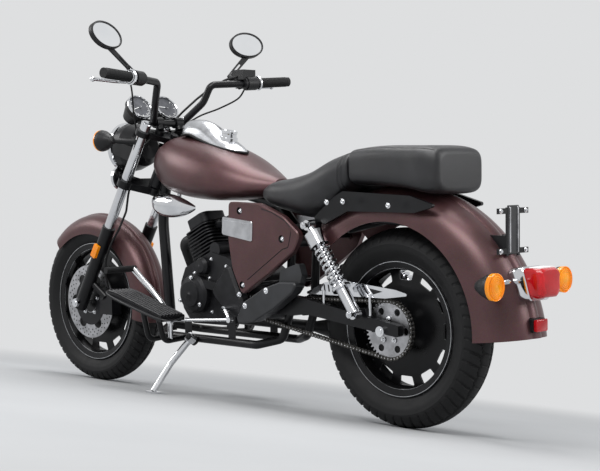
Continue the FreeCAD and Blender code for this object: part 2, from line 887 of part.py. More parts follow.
def front_indicators():
    """Bullet shells ahead of the fork, each on a short stalk clamped to its fork tube."""
    items = []
    for side in SIDES:
        front = Vector(FRONT_LAMP.x, side * FRONT_LAMP.y, FRONT_LAMP.z)
        shell = turned(lamp_shell_profile(), front, Vector(1, 0, 0))
        tube = fork_point(FRONT_LAMP_CLAMP, side * FORK_HALF_TRACK)
        reach = fork_direction() * 36
        stalk = rod(tube, front - Vector(LAMP_LENGTH * 0.5, side * 16, 0), 10)
        bush = rod(tube - reach, tube + reach, STANCHION_RADIUS)
        items.append(fused([shell, stalk]).cut(bush))
    return Part.makeCompound(items)


def lens(front, facing):
    """A shallow lamp lens with a rounded rim."""
    profile = [
        (0, 0),
        (LAMP_RADIUS, 0),
        (LAMP_RADIUS, 6),
        (LAMP_RADIUS - 5, 12),
        (0, 16),
    ]
    return turned(profile, front, facing)


def front_amber_lenses():
    """The front signals' lenses and the side reflectors on the fork legs."""
    items = []
    for side in SIDES:
        items.append(lens(Vector(FRONT_LAMP.x, side * FRONT_LAMP.y, FRONT_LAMP.z), Vector(1, 0, 0)))
        middle = fork_point(REFLECTOR_ALONG, side * (FORK_HALF_TRACK + SLIDER_RADIUS - 3), -2)
        across = fork_forward() * 13
        along = fork_direction() * 26
        corners = [
            middle - across - along,
            middle + across - along,
            middle + across + along,
            middle - across + along,
        ]
        plate = Part.Face(Part.Wire(corner_edges(corners, 4, True))).extrude(Vector(0, side * 11, 0))
        leg = rod(
            fork_point(0, side * FORK_HALF_TRACK), fork_point(SLIDER_TOP, side * FORK_HALF_TRACK), SLIDER_RADIUS
        )
        items.append(plate.cut(leg))
    return Part.makeCompound(items)


def front_caliper():
    """A caliper astride the front disc, on an arm of the left fork leg."""
    centre = front_axle_point() + Vector(-120, FRONT_DISC_Y, 4)
    body = Part.makeBox(72, 44, 88, centre + Vector(-36, -22, -44))
    slot_start = centre + Vector(-24, -DISC_WALL / 2 - 1.5, -200)
    body = body.cut(Part.makeBox(300, DISC_WALL + 3, 400, slot_start))
    arm = rod(centre + Vector(6, 16, 20), fork_point(92, FORK_HALF_TRACK - 10, -20), 13)
    leg = rod(fork_point(-22, FORK_HALF_TRACK), fork_point(SLIDER_TOP, FORK_HALF_TRACK), SLIDER_RADIUS)
    return fused([body, arm]).cut(leg)


def brake_hose():
    """The front brake's hose, held from the reservoir past the clamps to the caliper."""
    points = [
        Vector(982, -224, 1128),
        Vector(1012, -196, 1118),
        Vector(1052, -160, 1090),
        Vector(1088, -120, 1048),
        Vector(1118, -78, 1002),
        Vector(1150, -34, 944),
        Vector(1172, 10, 912),
    ]
    lower = [
        (672, 46, 28),
        (620, 52, 30),
        (570, 52, 30),
        (520, 52, 26),
        (462, 56, 10),
        (410, 64, -18),
        (350, 88, -40),
        (290, 102, -42),
        (230, 102, -42),
        (170, 94, -52),
        (102, 68, -84),
    ]
    points += [fork_point(along, across, forward) for along, across, forward in lower]
    bends = [0] + [60] * (len(points) - 2) + [0]
    return bent_rod(points, HOSE_RADIUS, bends)


# Frame


def frame_backbone():
    """Head tube, the backbone that drops to the uprights, and the side covers' upper arms."""
    head = pipe(
        fork_point(LOWER_CLAMP + 20, 0, -FORK_OFFSET),
        fork_point(UPPER_CLAMP - 16, 0, -FORK_OFFSET),
        HEAD_TUBE_RADIUS,
        STEM_RADIUS + 1,
    )
    start = fork_point(620, 0, -FORK_OFFSET - HEAD_TUBE_RADIUS + 4)
    route = [start, Vector(1000, 0, 776), Vector(560, 0, 682), Vector(UPRIGHT_X, 0, 560)]
    tube = bent_rod(route, BACKBONE_RADIUS, [0, 60, 90, 0])
    reach = UPRIGHT_Y - RAIL_RADIUS
    cross = rod(Vector(UPRIGHT_X, -reach, 560), Vector(UPRIGHT_X, reach, 560), 20)
    bolt_x, bolt_z = COVER_BOLTS[0]
    arm = rod(Vector(bolt_x, -COVER_BOSS_Y, bolt_z), Vector(bolt_x, COVER_BOSS_Y, bolt_z), 7)
    return fused([head, tube, cross, arm])


def frame_cradle():
    """Downtube, two rails under the engine, the pivot's uprights and the stand's hinge pin."""
    downtube = [Vector(1118, 0, 768), Vector(1143, 0, 620), Vector(1103, 0, 217)]
    shapes = [bent_rod(downtube, 19, [0, 300, 0])]
    for side in SIDES:
        rail = [
            Vector(1104, 0, 240),
            Vector(1052, side * RAIL_HALF_TRACK, 218),
            Vector(560, side * RAIL_HALF_TRACK, 218),
            Vector(480, side * UPRIGHT_Y, 240),
            Vector(PIVOT_X, side * UPRIGHT_Y, 320),
            Vector(UPRIGHT_X, side * UPRIGHT_Y, 519.5),
        ]
        shapes.append(bent_rod(rail, RAIL_RADIUS, [0, 30, 40, 30, 30, 0]))
        pivot_in = Vector(PIVOT_X, side * (UPRIGHT_Y - 18), PIVOT_Z)
        pivot_out = Vector(PIVOT_X, side * (UPRIGHT_Y + 16), PIVOT_Z)
        shapes.append(rod(pivot_in, pivot_out, 20))
        for x in (900, 680):
            outline = [(x - 18, 224), (x - 18, 284), (x + 18, 284), (x + 18, 224)]
            far = RAIL_HALF_TRACK - 1
            near = CASE_HALF_WIDTH
            shapes.append(side_plate(outline, min(side * near, side * far), max(side * near, side * far), 4))
        bolt_x, bolt_z = COVER_BOLTS[2]
        arm = [
            Vector(444, side * UPRIGHT_Y, bolt_z + 14),
            Vector(484, side * (COVER_BOSS_Y - 7), bolt_z + 8),
            Vector(bolt_x, side * (COVER_BOSS_Y - 7), bolt_z),
        ]
        shapes.append(bent_rod(arm, 6, [0, 20, 0]))
    axis = stand_axis()
    hinge = STAND_PIVOT - axis * (STAND_EYE_HALF + 12)
    shapes.append(rod(hinge, STAND_PIVOT - axis * (STAND_EYE_HALF + 0.5), 15))
    shapes.append(rod(hinge, STAND_PIVOT + axis * (STAND_EYE_HALF + 4), STAND_PIN_RADIUS))
    shapes.append(
        rod(STAND_PIVOT + axis * (STAND_EYE_HALF + 0.5), STAND_PIVOT + axis * (STAND_EYE_HALF + 4), 11)
    )
    shapes.append(rod(Vector(STAND_PIVOT.x, RAIL_HALF_TRACK, 218), hinge + axis, 9))
    return fused(shapes)


def frame_rear():
    """Two seat rails inside the mudguard, joined across and padded out to its skin."""
    shapes = []
    mass = rear_mudguard_mass(-SHEET)
    for side in SIDES:
        rail = [
            Vector(UPRIGHT_X, side * UPRIGHT_Y, 520),
            Vector(UPRIGHT_X - 16, side * 76, 610),
            Vector(300, side * SEAT_RAIL_Y, 596),
            Vector(90, side * SEAT_RAIL_Y, 640),
            Vector(-120, side * SEAT_RAIL_Y, 630),
        ]
        shapes.append(bent_rod(rail, SEAT_RAIL_RADIUS, [0, 40, 40, 40, 0]))
        for x, z in STRAP_BOLTS:
            foot = Vector(x, side * (SEAT_RAIL_Y - 6), 634)
            shapes.append(rod(foot, Vector(foot.x, foot.y, z + 20), 8).common(mass))
        bolt_x, bolt_z = COVER_BOLTS[1]
        arm = [
            Vector(bolt_x, side * 74, 600),
            Vector(bolt_x, side * 88, bolt_z),
            Vector(bolt_x, side * COVER_BOSS_Y, bolt_z),
        ]
        shapes.append(bent_rod(arm, 7, [0, 12, 0]))
    for x, z in ((300, 596), (-100, 631)):
        shapes.append(rod(Vector(x, -SEAT_RAIL_Y, z), Vector(x, SEAT_RAIL_Y, z), 9))
    return fused(shapes)


def swingarm():
    """Two flat arms on a pivot tube, with a brace ahead of the tyre."""
    shapes = []
    for side in SIDES:
        outline = [
            (PIVOT_X + 22, PIVOT_Z - 18),
            (PIVOT_X + 22, PIVOT_Z + 22),
            (PIVOT_X - 30, 394),
            (PIVOT_X - 90, 392),
            (-64, 328),
            (-64, 292),
            (PIVOT_X - 150, 336),
        ]
        near = SWINGARM_Y - SWINGARM_HALF_WALL
        far = SWINGARM_Y + SWINGARM_HALF_WALL
        shapes.append(side_plate(outline, min(side * near, side * far), max(side * near, side * far), 8))
        eye = Vector(SHOCK_LOW.x, side * SHOCK_LOW.y, SHOCK_LOW.z)
        lug = [(eye.x - 26, 312), (eye.x + 26, 318), (eye.x + 15, eye.z + 15), (eye.x - 15, eye.z + 15)]
        shapes.append(side_plate(lug, min(side * near, side * far), max(side * near, side * far), 5))
        shapes.append(rod(Vector(eye.x, side * near, eye.z), eye + Vector(0, side * 16, 0), SHOCK_STUD_RADIUS))
    inner = UPRIGHT_Y - 18.5
    shapes.append(rod(Vector(PIVOT_X, -inner, PIVOT_Z), Vector(PIVOT_X, inner, PIVOT_Z), 18))
    shapes.append(rod(Vector(PIVOT_X, -118, PIVOT_Z), Vector(PIVOT_X, 118, PIVOT_Z), PIVOT_BOLT_RADIUS))
    brace = Vector(PIVOT_X - 62, 0, PIVOT_Z - 4)
    shapes.append(rod(brace - Vector(0, 110, 0), brace + Vector(0, 110, 0), 15))
    shapes.append(rod(brace, Vector(PIVOT_X, 0, PIVOT_Z), 14))
    arms = fused(shapes)
    reach = Vector(0, 200, 0)
    return arms.cut(rod(rear_axle_point() - reach, rear_axle_point() + reach, AXLE_RADIUS))


def rear_axle():
    """The shaft, its spacers against the hub and its nuts."""
    middle = rear_axle_point()
    shapes = [rod(middle - Vector(0, 134, 0), middle + Vector(0, 134, 0), AXLE_RADIUS)]
    for side in SIDES:
        start = middle + Vector(0, side * (SWINGARM_Y + SWINGARM_HALF_WALL), 0)
        shapes.append(rod(start, start + Vector(0, side * 10, 0), 16))
    return fused(shapes)


# Bodywork


TANK_STATIONS = (
    (1120, 58, 788, 842, 0.50),
    (1102, 74, 762, 868, 0.50),
    (1060, 102, 728, 900, 0.48),
    (960, 137, 700, 910, 0.42),
    (820, 150, 688, 884, 0.36),
    (690, 132, 690, 836, 0.36),
    (596, 88, 696, 790, 0.40),
    (532, 40, 712, 762, 0.45),
)
TANK_MIDDLE_X = 820.0
TANK_ROOM_FRONT = 1020.0
TANK_ROOM_BACK = 600.0
CONSOLE_WALL = 4.0
CONSOLE_OUTLINE = ((1075, 26), (1050, 46), (940, 52), (800, 50), (700, 8))
CONSOLE_BENDS = (8, 12, 200, 200, 6)
CONSOLE_LOW_Z = 820.0
FILLER_X = 790.0
FILLER_Z = 856.0
FILLER_RADIUS = 27.0


def tank_body(grow):
    """The tank's outside, or a skin that lies off it by a distance."""
    wires = []
    for x, half_width, z_low, z_high, shoulder in TANK_STATIONS:
        outward = 1 if x > TANK_MIDDLE_X else -1
        end = grow if x in (TANK_STATIONS[0][0], TANK_STATIONS[-1][0]) else 0
        wires.append(
            egg_wire(x + outward * end, half_width + grow, z_low - grow, z_high + grow, shoulder)
        )
    return Part.makeLoft(wires, True, False)


def head_clearance():
    """The room that the clamps and the head tube need as the bars turn."""
    low = fork_point(LOWER_CLAMP - 60, 0, -FORK_OFFSET)
    high = fork_point(STANCHION_TOP + 60, 0, -FORK_OFFSET)
    room = rod(low, high, HEAD_CLEARANCE)
    back = UPPER_CLAMP - CLAMP_WALL * 0.35 - 6
    corners = [
        fork_point(back, -150, -FORK_OFFSET - HEAD_CLEARANCE),
        fork_point(back, -150, 80),
        fork_point(back + 120, -150, 80),
        fork_point(back + 120, -150, -FORK_OFFSET - HEAD_CLEARANCE),
    ]
    slab = Part.Face(Part.makePolygon(corners + corners[:1])).extrude(Vector(0, 300, 0))
    return room.fuse(slab)


def tank_tunnel(grow):
    """The channel under the tank that clears the backbone tube."""
    outline = [(1180, 600), (1180, 820 + grow), (1000, 806 + grow), (520, 712 + grow), (480, 600)]
    half = BACKBONE_RADIUS + 8 + grow
    return side_plate(outline, -half, half, 6)


def fuel_tank():
    """A teardrop tank, hollow, with a tunnel over the backbone and a notch for the head."""
    outside = tank_body(0).cut(tank_tunnel(0)).cut(head_clearance())
    room = Part.makeBox(
        TANK_ROOM_FRONT - TANK_ROOM_BACK, 400, 400, Vector(TANK_ROOM_BACK, -200, 600)
    )
    inside = tank_body(-TANK_SHEET).common(room).cut(tank_tunnel(TANK_SHEET))
    return outside.cut(inside)


def tank_console():
    """A bright teardrop plate laid on the tank's crest, with the round filler cap."""
    outline = [Vector(x, y, CONSOLE_LOW_Z) for x, y in CONSOLE_OUTLINE]
    outline += [Vector(x, -y, CONSOLE_LOW_Z) for x, y in reversed(CONSOLE_OUTLINE)]
    bends = list(CONSOLE_BENDS) + list(reversed(CONSOLE_BENDS))
    column = Part.Face(Part.Wire(corner_edges(outline, bends, True))).extrude(Vector(0, 0, 200))
    plate = tank_body(CONSOLE_WALL).cut(tank_body(0)).common(column)
    base = Vector(FILLER_X, 0, FILLER_Z)
    cap = rod(base, base + Vector(0, 0, 44), FILLER_RADIUS)
    cap = cap.fuse(rod(base, base + Vector(0, 0, 30), FILLER_RADIUS + 10))
    return fused([plate.cut(head_clearance()), cap.cut(tank_body(0))])


SADDLE_STATIONS = (
    (536, 92, 694, 734, 0.5, 3.0),
    (500, 112, 676, 752, 0.5, 3.0),
    (410, 132, 650, 768, 0.55, 2.8),
    (300, 148, 638, 794, 0.55, 2.8),
    (215, 146, 668, 832, 0.5, 2.8),
    (132, 128, 734, 854, 0.5, 2.8),
)
PILLION_STATIONS = (
    (131.6, 118, 752, 848, 0.5, 3.4),
    (60, 124, 748, 858, 0.5, 3.4),
    (-80, 124, 746, 858, 0.5, 3.4),
    (-178, 116, 742, 852, 0.5, 3.4),
    (-206, 100, 752, 838, 0.5, 3.4),
)


def saddle():
    """The rider's dished seat, wide at the hips and narrow between the knees."""
    pad = Part.makeLoft([egg_wire(*station) for station in SADDLE_STATIONS], True, False)
    return pad.cut(tank_body(SOFT_GAP)).cut(rear_mudguard_mass(SOFT_GAP))


def pillion_pad():
    return Part.makeLoft([egg_wire(*station) for station in PILLION_STATIONS], True, False)


def rear_mudguard_mass(clearance):
    middle = Vector(0, 0, REAR_GUARD_CENTRE_Z)
    return mudguard_mass(middle, REAR_GUARD_RADIUS, REAR_GUARD_HALF_WIDTH, 190, 50, 174, clearance)


def rear_mudguard():
    middle = Vector(0, 0, REAR_GUARD_CENTRE_Z)
    guard = mudguard(middle, REAR_GUARD_RADIUS, REAR_GUARD_HALF_WIDTH, 190, 50, 174)
    arch = rod(
        rear_axle_point() - Vector(0, 200, 0), rear_axle_point() + Vector(0, 200, 0), 328
    )
    return guard.cut(arch)


def mudguard_rails():
    """Pointed straps along the mudguard, stood off on bosses; they carry the shock absorbers."""
    outline = [
        (278, 640),
        (191, 707),
        (152, 725),
        (-111, 713),
        (-213, 684),
        (-128, 663),
        (134, 664),
        (230, 622),
    ]
    mass = rear_mudguard_mass(0)
    items = []
    for side in SIDES:
        near = side * (REAR_GUARD_HALF_WIDTH + 1)
        far = side * (REAR_GUARD_HALF_WIDTH + 13)
        strap = side_plate(outline, min(near, far), max(near, far), 6)
        bosses = []
        for x, z in STRAP_BOLTS:
            bosses.append(rod(Vector(x, side * 40, z), Vector(x, far, z), 9))
        eye = Vector(SHOCK_HIGH.x, side * SHOCK_HIGH.y, SHOCK_HIGH.z)
        tab = rod(Vector(eye.x, near, eye.z), Vector(eye.x, side * (SHOCK_HIGH.y - 14), eye.z), 17)
        stud = rod(Vector(eye.x, near, eye.z), eye + Vector(0, side * 16, 0), SHOCK_STUD_RADIUS)
        items.append(fused([strap, tab, stud] + [boss.cut(mass) for boss in bosses]))
    return Part.makeCompound(items)


STRAP_BOLTS = ((178, 692), (112, 695), (-67, 685))
SHOCK_LOW = Vector(81, 150, 356)
SHOCK_HIGH = Vector(269, 150, 620)
SHOCK_STUD_RADIUS = 7.0
SPRING_RADIUS = 27.0
SPRING_WIRE_RADIUS = 4.2
SPRING_TURNS = 8
SPRING_SEAT = 97.0
CUP_DEPTH = 78.0

COVER_OUTLINE = (
    (626, 689),
    (484, 685),
    (374, 645),
    (300, 590),
    (330, 536),
    (446, 458),
    (567, 386),
    (612, 470),
    (630, 570),
)
COVER_BENDS = (14, 60, 80, 24, 60, 200, 16, 100, 200)
COVER_BOLTS = ((573, 660), (382, 574), (564, 419))
COVER_Y = 160.0
COVER_BOSS_Y = 112.0
COVER_DEPTH = 22.0
COVER_SHEET = 3.0
COVER_RECESS_RADIUS = 12.0
COVER_RECESS_DEPTH = 6.0
GROOVE_RADIUS = 1.6
COVER_GROOVE = ((471, 668), (421, 656), (366, 632), (336, 606), (352, 548), (378, 541), (538, 437))


def side_covers():
    """Sheet panels with a turned-in rim and a pressed line, each on three sunken bolts."""
    items = []
    for side in SIDES:
        shapes = [panel_solid(side, COVER_OUTLINE, COVER_BENDS, COVER_Y, COVER_DEPTH, COVER_SHEET)]
        for x, z in COVER_BOLTS:
            inner = Vector(x, side * (COVER_BOSS_Y + SEAT_GAP), z)
            shapes.append(rod(inner, Vector(x, side * (COVER_Y - 1), z), 9))
            back = Vector(x, side * (COVER_Y - COVER_RECESS_DEPTH - COVER_SHEET), z)
            cup = COVER_RECESS_RADIUS + COVER_SHEET
            shapes.append(rod(back, Vector(x, side * (COVER_Y - 1), z), cup))
        cover = fused(shapes)
        for x, z in COVER_BOLTS:
            floor = Vector(x, side * (COVER_Y - COVER_RECESS_DEPTH), z)
            mouth = Vector(x, side * (COVER_Y + 1), z)
            cover = cover.cut(rod(floor, mouth, COVER_RECESS_RADIUS))
        line = [Vector(x, side * COVER_Y, z) for x, z in COVER_GROOVE]
        cover = cover.cut(bent_rod(line, GROOVE_RADIUS, [0, 40, 40, 30, 12, 12, 0]))
        items.append(cover)
    return Part.makeCompound(items)


def panel_solid(side, outline, bends, face_y, depth, wall):
    """A pan: its outer face at one distance from the middle, its rim turned inwards."""
    points = [Vector(x, 0, z) for x, z in outline]
    face = Part.Face(Part.Wire(corner_edges(points, bends, True)))
    inner = face.makeOffset2D(-wall)
    pan = face.extrude(Vector(0, side * depth, 0))
    pan.translate(Vector(0, side * (face_y - depth), 0))
    edges = [edge for edge in pan.Edges if abs(abs(edge.BoundBox.Center.y) - face_y) < 0.01]
    pan = pan.makeChamfer(wall * 1.2, edges)
    hollow = inner.extrude(Vector(0, side * (depth - wall), 0))
    hollow.translate(Vector(0, side * (face_y - depth), 0))
    return pan.cut(hollow)


# Engine


def crankcase():
    """Both halves of the case as one closed block, cut back for the chain at its left rear."""
    outline = [
        (925, 318),
        (938, 402),
        (912, 458),
        (784, 516),
        (700, 500),
        (590, 440),
        (552, 350),
        (600, 292),
        (700, 272),
        (880, 268),
    ]
    bends = [30, 40, 12, 12, 30, 40, 40, 30, 60, 30]
    points = [Vector(x, -CASE_HALF_WIDTH, z) for x, z in outline]
    face = Part.Face(Part.Wire(corner_edges(points, bends, True)))
    block = face.extrude(Vector(0, 2 * CASE_HALF_WIDTH, 0))
    chain_room = [(500, 240), (500, 425), (664, 425), (664, 240)]
    block = block.cut(side_plate(chain_room, 70, CASE_HALF_WIDTH + 1, 10))
    front = Vector(FRONT_SPROCKET_X, 0, FRONT_SPROCKET_Z)
    shaft = rod(front + Vector(0, 60, 0), front + Vector(0, CHAIN_Y + 6, 0), 12)
    wheel = sprocket(front, CHAIN_Y, FRONT_SPROCKET_TEETH, 11, 0)
    starter = rod(Vector(768, 20, 524), Vector(768, 92, 524), 25)
    return fused([block, shaft, wheel, starter])


def engine_covers():
    """Generator, starter-gear and sprocket covers on the left, clutch cover on the right."""
    face = CASE_HALF_WIDTH
    generator = turned(
        [(0, 0), (66, 0), (66, 22), (58, 34), (44, 38), (42, 44), (0, 46)], Vector(845, face, 372)
    )
    outline = [
        (671, 478),
        (654, 474),
        (622, 412),
        (600, 372),
        (584, 330),
        (600, 300),
        (652, 312),
        (722, 356),
        (745, 384),
        (724, 420),
    ]
    gear = side_plate(outline, face, face + 36, 12)
    rim_edges = [edge for edge in gear.Edges if edge.BoundBox.YMin > face + 35]
    gear = gear.makeChamfer(9, rim_edges)
    bridge_outline = [(800, 396), (800, 424), (700, 412), (700, 384)]
    bridge = side_plate(bridge_outline, face, face + 24, 4)
    starter_gear = turned([(0, 0), (30, 0), (30, 16), (22, 26), (0, 28)], Vector(812, face, 468))
    clutch = turned(
        [(0, 0), (92, 0), (92, 20), (78, 38), (40, 44), (0, 44)],
        Vector(780, -face, 385),
        Vector(0, -1, 0),
    )
    return Part.makeCompound([fused([generator, gear, bridge, starter_gear]), clutch])


CASE_HALF_WIDTH = 98.0
CYLINDER_BASE = Vector(848, 0, 487)
CYLINDER_LEAN_DEG = 25.0
CYLINDER_HEIGHT = 84.0
HEAD_HEIGHT = 74.0
FIN_COUNT = 7
FIN_WALL = 4.0
FIN_LENGTH = 132.0
FIN_WIDTH = 140.0


def cylinder_up():
    lean = math.radians(CYLINDER_LEAN_DEG)
    return Vector(math.sin(lean), 0, math.cos(lean))


def on_cylinder(shape, height):
    """Stand a shape on the leaning barrel, by its height along the bore."""
    shape.rotate(Vector(0, 0, 0), Y_AXIS, CYLINDER_LEAN_DEG)
    shape.translate(CYLINDER_BASE + cylinder_up() * height)
    return shape


def fin(length, width, wall):
    """A cooling fin with rounded corners."""
    corners = [Vector(length / 2, -width / 2, 0), Vector(length / 2, width / 2, 0)]
    corners += [Vector(-length / 2, width / 2, 0), Vector(-length / 2, -width / 2, 0)]
    return Part.Face(Part.Wire(corner_edges(corners, 26, True))).extrude(Vector(0, 0, wall))


def cylinder():
    """The finned barrel on its flange."""
    up = cylinder_up()
    shapes = [rod(CYLINDER_BASE - up * 30, CYLINDER_BASE + up * CYLINDER_HEIGHT, 48)]
    pitch = CYLINDER_HEIGHT / FIN_COUNT
    for index in range(FIN_COUNT):
        shapes.append(on_cylinder(fin(FIN_LENGTH, FIN_WIDTH, FIN_WALL), 5 + index * pitch))
    return fused(shapes)


def cylinder_head():
    """Finned head with its two stepped rocker covers."""
    shapes = []
    for index in range(3):
        height = CYLINDER_HEIGHT + 3 + index * 12
        shapes.append(on_cylinder(fin(FIN_LENGTH - 8, FIN_WIDTH, FIN_WALL), height))
    block = on_cylinder(fin(96, 104, 40), CYLINDER_HEIGHT)
    cover = on_cylinder(fin(104, 110, HEAD_HEIGHT - 40), CYLINDER_HEIGHT + 40)
    shapes += [block, cover]
    port_front = CYLINDER_BASE + cylinder_up() * (CYLINDER_HEIGHT + 24)
    shapes.append(rod(port_front, port_front + Vector(80, 0, -30), 24))
    shapes.append(rod(port_front, port_front + Vector(-79.9, 0, 26), 24))
    return fused(shapes)


def carburettor():
    """Inlet stub, mixing body and rubber elbow towards the air box."""
    port = CYLINDER_BASE + cylinder_up() * (CYLINDER_HEIGHT + 24)
    start = port + Vector(-80, 0, 26)
    run = unit(Vector(-80, 0, -6))
    shapes = [
        rod(start, start + run * 30, 22),
        rod(start + run * 26, start + run * 76, 30),
        rod(start + run * 50 - Vector(0, 0, 44), start + run * 50 + Vector(0, 0, 26), 26),
    ]
    return fused(shapes)


def exhaust():
    """Header from the front of the head, down the right side into a long silencer."""
    port = CYLINDER_BASE + cylinder_up() * (CYLINDER_HEIGHT + 24) + Vector(80, 0, -30)
    reach = unit(Vector(80, 0, -30))
    low = Vector(520, -EXHAUST_Y, EXHAUST_Z)
    header = bent_rod(
        [
            port,
            port + reach * 60,
            Vector(1056, -64, 440),
            Vector(1010, -EXHAUST_Y, 300),
            Vector(900, -EXHAUST_Y, EXHAUST_Z),
            low,
        ],
        EXHAUST_RADIUS,
        [0, 40, 60, 60, 60, 0],
    )
    start = Vector(440, -150, 258)
    end = Vector(-110, -186, 282)
    run = unit(end - start)
    link = tapered(low - Vector(10, 0, 0), start, EXHAUST_RADIUS, SILENCER_RADIUS - 8)
    body = rod(start - run * 2, end, SILENCER_RADIUS)
    bore = rod(end - run * 30, end + run, 20)
    hanger = rod(Vector(60, -178, 300), Vector(60, -SWINGARM_Y - SWINGARM_HALF_WALL, 316), 9)
    return fused([header, link, body, hanger]).cut(bore)


def horn_cover():
    """The bright teardrop cover under the tank, domed outwards, on a stay from the frame."""
    wires = []
    for x, z_middle, half_height, depth in HORN_COVER_STATIONS:
        wire = egg_wire(x, depth, z_middle - half_height, z_middle + half_height, 0.5, 2.2)
        wire.translate(Vector(0, HORN_COVER_BACK, 0))
        wires.append(wire)
    dome = Part.makeLoft(wires, True, False)
    back = Part.makeBox(400, 100, 300, Vector(850, HORN_COVER_BACK - 98, 550))
    dome = dome.cut(back)
    stay = bent_rod([Vector(1050, 0, 760), Vector(1050, 0, 690), Vector(1050, 60, 684)], 8, [0, 14, 0])
    return fused([dome, stay.cut(frame_backbone())])


HORN_COVER_BACK = 52.0
HORN_COVER_STATIONS = (
    (1132, 682, 8, 8),
    (1122, 678, 24, 18),
    (1090, 672, 38, 27),
    (1040, 668, 42, 31),
    (980, 664, 34, 27),
    (930, 662, 18, 16),
    (904, 662, 6, 7),
)
EXHAUST_RADIUS = 19.0
EXHAUST_Y = 129.0
EXHAUST_Z = 262.0
SILENCER_RADIUS = 43.0

COVER_FACE_Y = 172.0
PIVOT_COVER_OUTLINE = (
    (581, 312),
    (550, 364),
    (455, 415),
    (385, 438),
    (300, 440),
    (330, 404),
    (409, 352),
    (505, 302),
    (575, 294),
)


def pivot_covers():
    """Moulded covers over the swingarm's pivot, each with a small box standing on it."""
    items = []
    for side in SIDES:
        cover = panel_solid(side, PIVOT_COVER_OUTLINE, 10, COVER_FACE_Y, 44, 3.5)
        box_low = side * (COVER_FACE_Y - 46)
        box_high = side * (COVER_FACE_Y - 20)
        outline = [(402, 426), (396, 474), (314, 500), (300, 462), (312, 434)]
        box = side_plate(outline, min(box_low, box_high), max(box_low, box_high), 10)
        boss = rod(
            Vector(PIVOT_X, side * (SWINGARM_Y + SWINGARM_HALF_WALL), PIVOT_Z),
            Vector(PIVOT_X, side * (COVER_FACE_Y - 3), PIVOT_Z),
            14,
        )
        items.append(fused([cover, box, boss]))
    return Part.makeCompound(items)


LINK_REAR = Vector(617, 168, 303)


def floorboards():
    """Ribbed boards on hooked brackets from the lower rails."""
    items = []
    for side in SIDES:
        near = side * 202
        far = side * 305
        outline = [(1088, 362), (1082, 380), (1040, 374), (800, 310), (802, 292)]
        board = side_plate(outline, min(near, far), max(near, far), 4)
        shapes = [board]
        for x, z in ((985, 340), (905, 318)):
            hook = [
                Vector(x, side * RAIL_HALF_TRACK, 218),
                Vector(x, side * 205, 212),
                Vector(x, side * 236, z),
            ]
            shapes.append(bent_rod(hook, 10, [0, 30, 0]))
        items.append(fused(shapes))
    return Part.makeCompound(items)


def gear_linkage():
    """Heel-and-toe gear lever, with its rod back to the arm on the gear shaft."""
    pivot = Vector(905, 176, 282)
    toe = Vector(1082, 190, 452)
    shapes = [
        bent_rod([pivot, Vector(950, 186, 350), toe], 7, [0, 30, 0]),
        rod(toe - Vector(0, 8, 0), Vector(toe.x, 312, toe.z), 11),
        rod(pivot, LINK_REAR, 5),
        rod(LINK_REAR, Vector(657, 150, 334), 7),
        rod(Vector(657, CASE_HALF_WIDTH + 36, 334), Vector(657, 158, 334), 10),
        rod(LINK_REAR - Vector(0, 7, 0), LINK_REAR + Vector(0, 7, 0), 10),
        rod(pivot - Vector(0, 9, 0), pivot + Vector(0, 9, 0), 12),
        rod(pivot, Vector(905, 176, 212), 9),
    ]
    return fused(shapes)


def brake_pedal():
    """Foot brake lever, on a boss that stands on the board's bracket."""
    boss = Vector(905, -184, 212)
    arm = bent_rod([Vector(905, -184, 290), Vector(950, -192, 352), Vector(1064, -196, 432)], 8, 20)
    shapes = [
        arm,
        rod(boss, Vector(905, -184, 292), 9),
        side_plate([(1034, 420), (1034, 432), (1086, 446), (1086, 434)], -300, -190, 4),
    ]
    return fused(shapes)


def shock_ends(side):
    """The centres of a shock absorber's two eyes."""
    low = Vector(SHOCK_LOW.x, side * SHOCK_LOW.y, SHOCK_LOW.z)
    high = Vector(SHOCK_HIGH.x, side * SHOCK_HIGH.y, SHOCK_HIGH.z)
    return low, high


def shock_bodies():
    """Lower cylinder with its spring seat, rod and upper cup, and an eye at each end."""
    items = []
    for side in SIDES:
        low, high = shock_ends(side)
        length = (high - low).Length
        cup = SPRING_RADIUS + 3
        profile = [
            (0, 0),
            (19, 0),
            (19, SPRING_SEAT - 8),
            (cup, SPRING_SEAT - 8),
            (cup, SPRING_SEAT),
            (8, SPRING_SEAT),
            (8, length - CUP_DEPTH),
            (cup, length - CUP_DEPTH),
            (cup, length - 30),
            (14, length - 22),
            (12, length),
            (0, length),
        ]
        shapes = [turned(profile, low, high - low)]
        half_eye = Vector(0, 13, 0)
        for eye in (low, high):
            shapes.append(rod(eye - half_eye, eye + half_eye, 16))
        body = fused(shapes)
        reach = Vector(0, 30, 0)
        for eye in (low, high):
            body = body.cut(rod(eye - reach, eye + reach, SHOCK_STUD_RADIUS + RUNNING_FIT))
        items.append(body)
    return Part.makeCompound(items)


def spring_section(radius):
    """The spring wire's section, with eight flats to keep the coil's mesh small."""
    corners = []
    for index in range(8):
        angle = math.pi / 4 * (index + 0.5)
        offset = Vector(math.cos(angle), 0, math.sin(angle)) * SPRING_WIRE_RADIUS
        corners.append(Vector(radius, 0, 0) + offset)
    return Part.Wire(Part.makePolygon(corners + corners[:1]).Edges)


